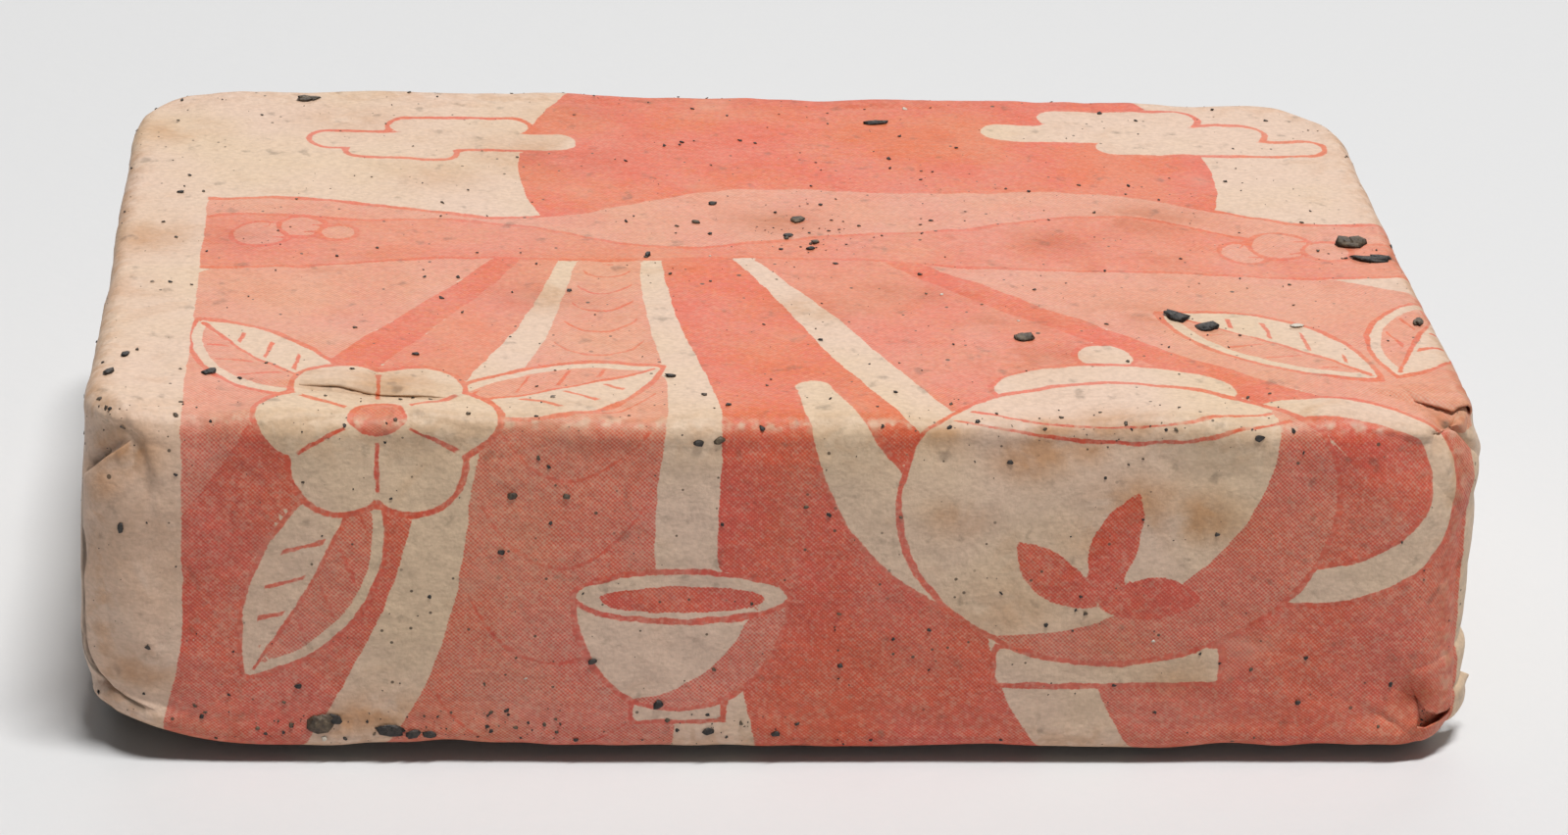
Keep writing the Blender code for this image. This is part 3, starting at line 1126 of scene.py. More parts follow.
    def worn(self, recipe: Recipe, cover: object) -> object:
        """Return the cover where the ink lies uneven, has gone in flecks and patches, or is rubbed
        thin at the corners and along the front top rim, where the pale band is partly a painted
        highlight.
        """
        uneven = recipe.noise(recipe.place((1.0, 1.0, 0.45)), 90.0, 4.0, 0.3)
        uneven = recipe.step(uneven, 0.36, 0.64)
        kept = recipe.math("MULTIPLY_ADD", uneven, self.ink_unevenness, self.ink_least)
        cover = recipe.times(cover, kept)
        flecks = recipe.step(recipe.grain(1900.0, 4.0), 0.42, 0.70)
        patches = recipe.step(recipe.grain(95.0, 6.0), 0.60, 0.80)
        thin = recipe.math("MAXIMUM", recipe.times(flecks, self.fleck_share), patches)
        # At the corners and along the front top rim the ink is thinned: rubbed off, and along the rim
        # partly a painted highlight.
        rim = recipe.times(recipe.layer("rim_wear_and_highlight"), self.rim_share)
        grain = recipe.step(recipe.grain(700.0, 4.0), 0.42, 0.66)
        rim = recipe.times(rim, grain)
        top_fade_and_sheen = recipe.layer("top_fade_and_sheen")
        share = recipe.math("MULTIPLY_ADD", top_fade_and_sheen, -self.wear_saved_on_top, self.wear)
        thin = recipe.math("MAXIMUM", recipe.times(thin, share), rim)
        return recipe.times(cover, recipe.math("SUBTRACT", 1.0, thin))

    def stained(self, recipe: Recipe, colour: object) -> object:
        """Return the colour under tea stains, faint grey dirt, fine specks and painted shade: in the
        gaps of the folds, on the underside and over the left part of the front.
        """
        blotches = recipe.grain(120.0, 6.0, 0.8)
        small = recipe.grain(420.0, 4.0, 0.5)
        faint = recipe.times(recipe.step(blotches, 0.57, 0.80), self.faint_stain_and_shade)
        # The listed stains, one of which is painted shade over the left part of the front.
        near = recipe.times(recipe.layer("stain_and_shade"), recipe.step(blotches, 0.32, 0.54))
        near = recipe.times(near, recipe.math("MULTIPLY_ADD", small, 1.4, 0.40))
        edge = recipe.times(recipe.layer("grime"), recipe.step(small, 0.36, 0.62))
        stain_and_shade = recipe.math("MAXIMUM", recipe.math("MAXIMUM", faint, near), edge)
        stain_and_shade = recipe.math("MINIMUM", stain_and_shade, self.most_stain_and_shade)
        shade = recipe.mix(stain_and_shade, WHITE, self.stain_and_shade_tint)
        colour = recipe.mix(1.0, colour, shade, "MULTIPLY")
        # Grey dirt from noise, and the layer of painted shade along the gaps of the folds and on the
        # underside, both mixed towards the dust colour.
        dirt_and_shade = recipe.step(recipe.grain(380.0, 6.0), 0.60, 0.76)
        dirt_and_shade = recipe.math("MAXIMUM", recipe.times(dirt_and_shade, self.dirt_depth), recipe.layer("painted_shade"))
        colour = recipe.mix(dirt_and_shade, colour, self.dust_and_shade)
        for scale, most in self.speck_kinds:
            apart, tint = recipe.cells(recipe.place(), scale)
            node = recipe.tree.nodes.new("ShaderNodeSeparateColor")
            recipe.put(node.inputs[0], tint)
            rare = recipe.step(node.outputs[0], 0.86, 0.93)
            size = recipe.times(node.outputs[1], most)
            speck = recipe.step(recipe.math("SUBTRACT", apart, size), 0.03, -0.01)
            speck = recipe.times(recipe.times(speck, rare), self.speck_depth)
            colour = recipe.mix(speck, colour, self.dust_and_shade)
        return colour

    def paper_colour(self, recipe: Recipe) -> object:
        """Return the bare paper, pinkish in places and yellowed in others, with pulp."""
        warm = recipe.step(recipe.grain(34.0, 3.0), 0.35, 0.68)
        colour = recipe.mix(warm, self.paper_pink, self.paper_yellow)
        colour = recipe.mix(0.4, colour, self.paper)
        cloud = recipe.grain(1500.0, 3.0)
        threads = recipe.noise(recipe.place((0.5, 1.0, 1.0), 0.5), 2600.0, 2.0)
        shade = recipe.step(recipe.plus(cloud, threads), 0.66, 1.34)
        light = recipe.mix(shade, (0.92, 0.915, 0.91, 1.0), (1.08, 1.08, 1.08, 1.0))
        return recipe.mix(1.0, colour, light, "MULTIPLY")

    def ink_colour(self, recipe: Recipe) -> object:
        """Return the ink: pinker or more orange in patches, paler on the top face (partly fading,
        partly painted sheen), deep in grains.
        """
        patch = recipe.plus(recipe.swing(75.0, 1.0, 5.0), recipe.swing(1300.0, 0.5))
        hue = recipe.step(patch, -0.14, 0.14)
        fresh = recipe.mix(hue, self.ink_pink, self.ink_orange)
        # The top face takes paler inks: partly fading, partly painted sheen.
        sheen_faded = recipe.mix(hue, self.sheen_faded_pink, self.sheen_faded_orange)
        ink = recipe.mix(recipe.layer("top_fade_and_sheen"), fresh, sheen_faded)
        grain = recipe.plus(recipe.swing(150.0, 0.7, 5.0), recipe.swing(1700.0, 0.9, 3.0))
        share = recipe.math("MULTIPLY_ADD", recipe.layer("top_fade_and_sheen"), -0.7, 1.0)
        share = recipe.times(share, recipe.step(grain, 0.0, 0.26))
        deep = recipe.mix(share, WHITE, self.ink_deep)
        return recipe.mix(1.0, ink, deep, "MULTIPLY")

    def make(self) -> bpy.types.Material:
        """Return the finished material."""
        recipe = Recipe("printed_paper")
        colour = self.paper_colour(recipe)
        cover = self.worn(recipe, self.ink_cover(recipe))
        inked = recipe.mix(1.0, colour, self.ink_colour(recipe), "MULTIPLY")
        node = recipe.tree.nodes.new("ShaderNodeClamp")
        recipe.put(node.inputs[0], cover)
        colour = self.stained(recipe, recipe.mix(node.outputs[0], colour, inked))
        recipe.surface(colour, self.roughness, self.specular)
        wrinkles, tooth = recipe.grain(330.0, 4.0), recipe.grain(2400.0, 3.0)
        recipe.bump(recipe.math("MULTIPLY_ADD", tooth, self.tooth, wrinkles), self.bump_m)
        return recipe.material


@dataclass(frozen=True)
class TeaFinish:
    """A dried tea leaf: dark, a little uneven, with a dull gloss."""

    name: str
    dark: tuple
    pale: tuple
    roughness: float = 0.55

    def make(self) -> bpy.types.Material:
        """Return the finished material."""
        recipe = Recipe(self.name)
        patches = recipe.step(recipe.grain(900.0, 4.0), 0.35, 0.70)
        recipe.surface(recipe.mix(patches, self.dark, self.pale), self.roughness)
        recipe.bump(recipe.noise(recipe.place((1.0, 0.4, 1.0)), 3200.0, 3.0), 0.0002)
        return recipe.material


@dataclass(frozen=True)
class FloorFinish:
    """A pale, matt paper floor."""

    colour: tuple = linear(215, 215, 215)
    roughness: float = 0.9
    specular: float = 0.1

    def make(self) -> bpy.types.Material:
        """Return the finished material."""
        recipe = Recipe("pale_floor")
        recipe.surface(self.colour, self.roughness, self.specular)
        recipe.bump(recipe.grain(160.0, 4.0), 0.0004, 0.5)
        return recipe.material


def cut_box(mesh: bmesh.types.BMesh, counts: tuple[int, int, int], side: float) -> None:
    """Cut a cube of this side into so many parts along each axis."""
    for axis, parts in enumerate(counts):
        along = [
            edge
            for edge in mesh.edges
            if abs((edge.verts[0].co - edge.verts[1].co)[axis]) > side / 2
        ]
        if parts > 1:
            bmesh.ops.subdivide_edges(mesh, edges=along, cuts=parts - 1, use_grid_fill=True)


def as_mesh(shape: bmesh.types.BMesh, name: str) -> bpy.types.Mesh:
    """Return a new mesh with this shape, which is freed."""
    mesh = bpy.data.meshes.new(name)
    shape.to_mesh(mesh)
    shape.free()
    return mesh


def points_of(mesh: bpy.types.Mesh) -> Array:
    """Return the places of a mesh's vertices."""
    found = np.empty(len(mesh.vertices) * 3, np.float32)
    mesh.vertices.foreach_get("co", found)
    return found.reshape(-1, 3).astype(float)


def set_points(mesh: bpy.types.Mesh, places: Array) -> None:
    """Move a mesh's vertices to places in millimetres."""
    mesh.vertices.foreach_set("co", (places * MM).astype(np.float32).ravel())
    mesh.update()


def new_piece(mesh: bpy.types.Mesh, name: str, material: bpy.types.Material) -> bpy.types.Object:
    """Show a mesh as a piece of the brick that rides on its body.

    Args:
        mesh: The mesh, in metres, in place.
        name: The piece's name.
        material: Its finish.

    Returns:
        The new object.
    """
    mesh.name = name
    mesh.materials.append(material)
    mesh.shade_smooth()
    made = bpy.data.objects.new(name, mesh)
    bpy.context.scene.collection.objects.link(made)
    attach(made, BODY)
    LOG.info("%s: %d vertices, %d faces", name, len(mesh.vertices), len(mesh.polygons))
    return made


@dataclass(frozen=True)
class StainAndShade:
    """A soft brown patch on the sheet: a stain of tea, except one wide, faint one that is painted
    shade.
    """

    place: Spot
    reach: float = 3.0
    strength: float = 0.7
    stretch: float = 1.5

    def cover(self, s: Array, t: Array) -> Array:
        """Return how strong the patch is at places of the sheet."""
        away = np.hypot((s - self.place[0]) / self.stretch, t - self.place[1])
        return self.strength * bell(away, self.reach)


@dataclass(frozen=True)
class PaperDress:
    """Writes the print, the wear, the stains, the painted shade, highlight and sheen, and the sheet's
    map on a piece of paper.
    """

    form: BrickForm
    design: GardenPrint
    stains_and_shade: tuple[StainAndShade, ...] = tuple(
        StainAndShade((s, t), reach, strength)
        for s, t, reach, strength in (
            (5.6, 31.2, 3.6, 0.8), (14.3, 36.1, 3.0, 0.5), (20.2, 34.7, 3.0, 0.6),
            (27.5, 17.0, 3.4, 0.7), (24.8, 27.8, 2.5, 0.5), (32.1, 18.4, 3.0, 0.5),
            (49.1, 58.9, 4.5, 0.8), (36.1, 51.3, 3.4, 0.7), (42.6, 30.0, 3.6, 0.6),
            (2.5, 57.1, 4.0, 0.8), (-76.4, 51.1, 5.0, 0.7), (-75.3, 84.9, 4.0, 0.6),
            (-51.9, 88.5, 5.0, 0.4), (-41.1, 71.0, 4.5, 0.4), (-26.6, 78.4, 6.0, 0.6),
            (-66.7, 51.2, 4.0, 0.4), (-27.5, 34.3, 4.0, 0.6), (-45.3, 9.1, 4.0, 0.7),
            (36.7, 0.2, 3.0, 1.0), (29.6, -0.2, 2.6, 0.9), (27.7, -4.1, 3.0, 1.0),
            (33.4, -3.1, 2.2, 0.8), (17.5, -1.2, 2.6, 0.7), (40.1, -10.0, 3.6, 0.8),
            (47.8, -11.9, 3.2, 0.9), (19.1, -11.9, 2.4, 0.6), (36.4, -14.3, 3.4, 0.5),
            (46.9, -33.1, 3.4, 0.5), (38.8, -26.5, 4.0, 0.4), (25.8, -23.8, 4.0, 0.4),
            (-46.8, -38.6, 3.4, 1.0), (-51.4, -39.9, 3.0, 1.0), (75.1, -34.6, 2.6, 1.0),
            (76.7, -40.7, 2.2, 1.0), (-75.9, -4.5, 3.6, 0.9), (-78.7, -8.3, 3.0, 0.7),
            # The wide, faint entry at (-76, -16) is painted shade: it darkens the left part of the
            # front as a whole.
            (-75.0, -33.0, 4.0, 0.7), (-80.5, -5.0, 2.6, 1.0), (-76.0, -16.0, 12.0, 0.35),
            (77.5, 4.6, 2.2, 0.8), (-78.0, 36.0, 3.4, 0.6), (-22.0, 92.0, 4.0, 0.5),
            (-60.0, 125.0, 9.0, 0.7), (10.0, 118.0, 12.0, 0.5), (66.0, 128.0, 7.0, 0.8),
            (-94.0, 60.0, 8.0, 0.7), (96.0, 40.0, 8.0, 0.7), (92.0, 82.0, 6.0, 0.6),
        )
    )
    # Lines along the gaps of the folds, where painted shade darkens the paper.
    gaps: tuple[tuple[Spot, ...], ...] = (
        ((-85.9, -11.0), (-86.5, -31.0), (-84.6, -37.2)),
        ((-86.6, -30.5), (-86.9, -33.5), (-85.2, -36.6)),
        ((-84.6, -37.2), (-82.2, -40.4), (-74.0, -41.8)),
        ((-84.6, -8.6), (-82.4, -7.2), (-80.2, -5.6)),
        ((78.0, 2.6), (81.0, -1.0), (84.4, -4.0)),
        ((77.0, 4.8), (77.4, 4.2), (77.2, 3.4)),
    )
    rim_width: float = 1.5
    corner_width: float = 2.8
    corner_wear: float = 0.6
    grime_inset: float = 1.5
    grime_width: float = 4.0
    front_grime: float = 0.3
    back_grime: float = 0.4
    low_grime: float = 0.5
    low_edge: Spot = (-38.0, -43.5)
    top_edge: Spot = (-3.0, 2.0)
    # Painted shade on the underside and along the gaps of the folds.
    under_painted_shade: float = 0.85
    gap_painted_shade: float = 0.9
    gap_width: float = 0.42

    def sheet_places(self, sharp: Array) -> tuple[Array, Array]:
        """Return the sheet coordinates of points of the sharp box.

        Args:
            sharp: Points on the sharp box.

        Returns:
            The places along the sheet and up it.
        """
        half_x, half_y, _ = self.form.half
        x, y, z = sharp.T
        back, below = y + half_y, self.form.height - z
        front_face = back < 1e-6
        top_face = below < 1e-6
        back_face = (half_y - y < 1e-6) & ~top_face
        base = (z < 1e-6) & ~front_face & ~back_face
        end_face = (half_x - np.abs(x) < 1e-6) & ~front_face & ~top_face & ~back_face & ~base
        t = np.where(front_face, -below, back)
        t = np.where(back_face, self.form.depth + below, t)
        t = np.where(base, -self.form.height - back, t)
        near_front = (back < below) & (back < self.form.depth / 2)
        t = np.where(end_face & near_front, -below, t)
        past = np.where(near_front, back, below)
        s = np.where(end_face, np.sign(x) * (half_x + past), x)
        return s, t

    def write(self, mesh: bpy.types.Mesh, s: Array, t: Array) -> None:
        """Dress a mesh.

        Args:
            mesh: The mesh.
            s: Place of each of its vertices along the sheet.
            t: Place of each of its vertices up the sheet.
        """
        plate = PrintPlate(s, t)
        self.design.print_on(plate)
        plate.store(mesh)
        half_x, back = self.form.length / 2, self.form.depth
        corner = self.corner_wear * bell(np.abs(s) - half_x, self.corner_width)
        corner = corner * (np.abs(t) < back - 0.5)
        # Painted shade: the underside, seen under the raised bottom edge, and thin lines along the
        # gaps of the folds are darkened.
        under = self.form.height + 0.1
        painted_shade = [self.under_painted_shade * smooth(t, -under, -under - 1.6)]
        for gap in self.gaps:
            painted_shade.append(self.gap_painted_shade * bell(tube(s, t, gap, (0.0, 0.0)), self.gap_width))
        layers = {
            # Ink rubbed off at the corners, and a pale band along the front top rim that is partly a
            # painted highlight.
            "rim_wear_and_highlight": [bell(t - 0.2, self.rim_width), corner],
            "grime": [
                corner,
                self.front_grime * bell(t + self.grime_inset, self.grime_width),
                self.back_grime * bell(t - back + self.grime_inset, self.grime_width),
                self.low_grime * smooth(t, *self.low_edge),
            ],
            # The top face, where the ink is paler: partly fading, partly painted sheen.
            "top_fade_and_sheen": [smooth(t, *self.top_edge) * (t < back + 5.5)],
            "painted_shade": painted_shade,
            "stain_and_shade": [stain_and_shade.cover(s, t) for stain_and_shade in self.stains_and_shade],
        }
        for name, parts in layers.items():
            write_layer(mesh, name, np.max(parts, axis=0))
        corners = np.empty(len(mesh.loops), np.int32)
        mesh.loops.foreach_get("vertex_index", corners)
        sheet = mesh.uv_layers.new(name="sheet")
        places = np.column_stack([s[corners], t[corners]]) * MM
        sheet.data.foreach_set("uv", places.astype(np.float32).ravel())


@dataclass
class Wrap:
    """The printed paper round the brick, one closed skin."""

    dress: PaperDress
    columns: int = 244
    rows: int = 150
    tiers: int = 64
    crowding: float = 0.42
    base_slices: int = 12
    base_edge: float = 0.86
    seam_cuts: tuple[float, ...] = (-0.35, -0.12, 0.12, 0.35)

    def sharp_points(self, cube: Array) -> Array:
        """Return the points of the sharp box for those of a cube of side 2."""
        spaced = cube + self.crowding * np.sin(np.pi * cube) / np.pi
        half = self.dress.form.half
        return spaced * half + np.array([0.0, 0.0, half[2]])

    def base_cuts(self) -> list[tuple[Vector, Vector]]:
        """Return the planes that cut the flat underside, close together at the seam."""
        edge = self.base_edge
        cuts = []
        for number in range(1, self.base_slices):
            level = -edge + 2 * edge * number / self.base_slices
            cuts.append((Vector((level, 0, -1)), Vector((1, 0, 0))))
            cuts.append((Vector((0, level, -1)), Vector((0, 1, 0))))
        form = self.dress.form
        for near in self.seam_cuts:
            level = (form.seam_y + near) / form.half[1] / (1.0 + self.crowding)
            cuts.append((Vector((0, level, -1)), Vector((0, 1, 0))))
        return cuts

    def coarse_base(self, mesh: bmesh.types.BMesh) -> None:
        """Cut the flat underside into large faces, since nothing is printed on it."""
        edge = self.base_edge
        flat = [f for f in mesh.faces if all(v.co.z < -1.0 + 1e-6 for v in f.verts)]
        inner = [f for f in flat if max(abs(c) for v in f.verts for c in v.co.xy) < edge]
        pieces = list(bmesh.ops.dissolve_faces(mesh, faces=inner, use_verts=False)["region"])
        for place, normal in self.base_cuts():
            edges = {e for f in pieces for e in f.edges}
            verts = {v for f in pieces for v in f.verts}
            cut = bmesh.ops.bisect_plane(
                mesh, geom=[*verts, *edges, *pieces], plane_co=place, plane_no=normal
            )
            pieces = [g for g in cut["geom"] if isinstance(g, bmesh.types.BMFace)]
        bmesh.ops.triangulate(mesh, faces=[f for f in mesh.faces if len(f.verts) > 4])

    def build(self, material: bpy.types.Material) -> bpy.types.Object:
        """Return the wrap, printed and in place."""
        cube = bmesh.new()
        bmesh.ops.create_cube(cube, size=2.0)
        cut_box(cube, (self.columns, self.rows, self.tiers), 2.0)
        self.coarse_base(cube)
        mesh = as_mesh(cube, "wrap")
        sharp = self.sharp_points(points_of(mesh))
        set_points(mesh, self.dress.form.shaped(sharp))
        self.dress.write(mesh, *self.dress.sheet_places(sharp))
        return new_piece(mesh, "printed_wrap", material)


class Face(Enum):
    """Where a fold lies: on the sheet as it runs round, or on one of the two ends."""

    SHEET = 0
    LEFT_END = -1
    RIGHT_END = 1


@dataclass(frozen=True)
class Fold:
    """A turned edge of the paper: a thin sheet that follows the brick and stands off it.

    The root and the free edge are lines of places: s and t on the sheet, or y and z on
    an end. The root lies under the surface and the free edge stands highest.
    """

    name: str
    face: Face
    root: tuple[Spot, ...]
    free: tuple[Spot, ...]
    lift: float = 0.5
    stand: float = 0.12
    sunk: float = 0.45
    curl: float = 2.0
    ramp: float = 0.30
    pins: tuple[bool, bool] = (True, True)
    pin_power: int = 4
    ripple: float = 0.10
    thick: float = 0.22
    columns: int = 48
    rows: int = 20

    @staticmethod
    def along(line: tuple[Spot, ...], share: Array) -> Array:
        """Return places along a line of points, at shares of its length."""
        spots = np.array(line)
        steps = np.hypot(*np.diff(spots, axis=0).T)
        reach = np.concatenate([[0.0], np.cumsum(steps)]) / steps.sum()
        return np.column_stack([np.interp(share, reach, part) for part in spots.T])

    def build(self, dress: PaperDress, material: bpy.types.Material) -> bpy.types.Object:
        """Return the fold, printed and in place."""
        grid = bmesh.new()
        bmesh.ops.create_grid(grid, x_segments=self.columns, y_segments=self.rows, size=0.5)
        mesh = as_mesh(grid, self.name)
        share = points_of(mesh)[:, :2] + 0.5
        across, rise = share.T
        root, free = self.along(self.root, across), self.along(self.free, across)
        spots = root + (free - root) * rise[:, None]
        form = dress.form
        if self.face is Face.SHEET:
            sharp = form.on_sheet(*spots.T)
            s, t = spots.T
        else:
            side = np.full(len(spots), self.face.value * form.length / 2)
            sharp = np.column_stack([side, spots])
            s, t = dress.sheet_places(sharp)
        place, facing = form.seat(sharp)
        off = (self.stand + self.sunk) * smooth(rise, 0.0, self.ramp) - self.sunk
        off += self.lift * rise**self.curl
        off += self.ripple * rough(place, 3.0, 9.0) * rise
        held = np.where(across < 0.5, *self.pins)
        pin = 1.0 - held * np.abs(2.0 * across - 1.0) ** self.pin_power
        off = (off + self.sunk) * pin - self.sunk
        low = self.thick * smooth(place[:, 2], 0.2, 2.0)
        set_points(mesh, place + facing * (off + low)[:, None])
        dress.write(mesh, s, t)
        self.thicken(mesh, Vector((0.0, 0.0, form.height / 2)) * MM)
        return new_piece(mesh, self.name, material)

    def thicken(self, mesh: bpy.types.Mesh, inside: Vector) -> None:
        """Give the sheet its thickness, towards the middle of the brick, in metres.

        Args:
            mesh: The sheet.
            inside: The middle of the brick, in metres.
        """
        sheet = bmesh.new()
        sheet.from_mesh(mesh)
        bmesh.ops.recalc_face_normals(sheet, faces=sheet.faces)
        outer = sum((f.normal * f.calc_area() for f in sheet.faces), Vector())
        middle = sum((v.co for v in sheet.verts), Vector()) / len(sheet.verts)
        if outer.dot(middle - inside) < 0.0:
            bmesh.ops.reverse_faces(sheet, faces=sheet.faces)
        facings = {tuple(v.co): v.normal.copy() for v in sheet.verts}
        layer = bmesh.ops.extrude_face_region(sheet, geom=sheet.faces, use_keep_orig=True)
        for vert in layer["geom"]:
            if isinstance(vert, bmesh.types.BMVert):
                vert.co -= facings[tuple(vert.co)] * self.thick * MM
        bmesh.ops.recalc_face_normals(sheet, faces=sheet.faces)
        sheet.to_mesh(mesh)
        sheet.free()


@dataclass(frozen=True)
class PaperFolds:
    """All turned edges of the wrap: the corners that show and the flaps of both ends."""

    corners: tuple[Fold, ...] = (
        Fold(
            "fold_top_left", Face.SHEET, lift=0.60, stand=0.05, sunk=0.30,
            root=((-85.5, -16.0), (-80.0, -13.5), (-73.5, -9.5)),
            free=((-85.0, -9.6), (-80.4, -6.4), (-77.0, -4.6), (-74.6, -3.0)),
        ),
        Fold(
            "fold_low_left", Face.SHEET, lift=0.50, stand=0.04, sunk=0.30, curl=3.0, ramp=0.6,
            root=((-79, -16), (-78.5, -22), (-77.5, -26.5), (-75.5, -30.5), (-72, -33.5), (-67, -36)),
            free=(
                (-83.4, -17), (-83.4, -24), (-83, -30.5), (-82, -35.5), (-79.2, -39.4), (-72, -41.2),
            ),
        ),
        Fold(
            "fold_rim_left", Face.SHEET, lift=0.08, stand=0.06,
            root=((-57.5, 13.0), (-50.0, 12.5), (-43.0, 11.0), (-37.5, 9.0)),
            free=((-57.0, 8.6), (-51.5, 7.8), (-45.9, 6.2), (-38.5, 5.6)),
        ),
        Fold(
            "fold_top_right", Face.SHEET, lift=0.40,
            root=((70.0, 11.5), (76.0, 13.0), (84.0, 13.5)),
            free=((72.6, 8.2), (75.2, 7.0), (77.4, 6.0), (80.0, 7.2), (83.6, 8.6)),
        ),
        Fold(
            "fold_front_right", Face.SHEET, lift=0.60, pins=(True, False),
            root=((73.0, -8.0), (77.0, -11.0), (81.5, -13.5), (86.5, -15.0)),
            free=((75.4, -0.8), (77.8, 0.8), (80.2, -1.8), (83.6, -4.8), (87.4, -7.0)),
        ),
        Fold(
            "corner_top_right", Face.RIGHT_END, lift=1.10, curl=1.2, ripple=0.8,
            root=((-42.8, 43.4), (-44.2, 40.0), (-46.4, 32.0)),
            free=((-36.5, 42.6), (-38.5, 38.5), (-40.5, 31.0)),
        ),
        Fold(
            "strip_right", Face.RIGHT_END, lift=0.70, curl=1.2,
            root=((-47.4, 36.0), (-47.6, 26.0), (-47.4, 13.0)),
            free=((-40.5, 36.0), (-41.0, 26.0), (-40.5, 13.0)),
        ),
        Fold(
            "ear_high_right", Face.RIGHT_END, lift=1.10, curl=1.1, ripple=0.5,
            root=((-47.0, 14.4), (-48.2, 11.0), (-47.6, 7.8)),
            free=((-42.0, 15.2), (-40.8, 10.8), (-43.8, 7.0)),
        ),
        Fold(
            "ear_low_right", Face.RIGHT_END, lift=2.50, curl=1.2, ripple=0.6,
            root=((-47.2, 9.0), (-48.2, 5.6), (-47.6, 2.6)),
            free=((-43.6, 9.8), (-40.4, 5.8), (-42.4, 2.2)),
        ),
        Fold(
            "fold_low_right", Face.SHEET, lift=0.95,
            root=((72.5, -31.5), (75.5, -30.5), (79.0, -29.5), (85.0, -29.5)),
            free=((75.4, -35.2), (76.6, -37.6), (78.6, -38.5), (81.2, -38.5), (84.0, -36.4)),
        ),
        Fold(
            "lip_low_right", Face.SHEET, lift=0.85, sunk=0.3,
            root=((73.5, -43.4), (77.0, -43.7), (80.0, -43.7), (85.0, -43.0)),
            free=((75.2, -40.6), (77.0, -40.1), (80.0, -39.9), (84.4, -38.6)),
        ),
        Fold(
            "pleat_low_right", Face.SHEET, lift=0.30,
            root=((70.5, -33.0), (70.5, -38.0), (69.0, -43.5)),
            free=((75.9, -35.6), (76.3, -39.4), (74.4, -43.4)),
        ),
    )
    flap_lines: tuple[tuple[str, tuple, tuple, float, float], ...] = (
        ("upper_flap", ((-38.0, 41.0), (38.0, 41.0)), ((-14.0, 13.3), (14.0, 13.3)), 0.2, 0.15),
        ("lower_flap", ((-38.0, 4.5), (38.0, 4.5)), ((-16.0, 30.0), (16.0, 30.0)), 0.3, 0.6),
    )

    def flaps(self) -> list[Fold]:
        """Return the two flaps of each end, the lower one over the upper one."""
        size = {"pins": (False, False), "sunk": 0.7, "ramp": 0.2, "columns": 90, "rows": 44}
        found = []
        for face in (Face.LEFT_END, Face.RIGHT_END):
            for name, root, free, lift, stand in self.flap_lines:
                whole = f"{name}_{face.name.lower()}"
                found.append(Fold(whole, face, root, free, lift=lift, stand=stand, **size))
        return found

    def build(self, dress: PaperDress, material: bpy.types.Material) -> list:
        """Return all folds, printed and in place."""
        return [fold.build(dress, material) for fold in (*self.corners, *self.flaps())]


class Shade(Enum):
    """The colours of the clinging tea."""

    BLACK = "black_tea"
    BROWN = "brown_tea"
    PALE = "pale_bit"


@dataclass(frozen=True)
class Flake:
    """One flake of tea that clings to the paper."""

    place: Spot
    length: float
    width: float
    turn: float = 0.0
    shade: Shade = Shade.BLACK


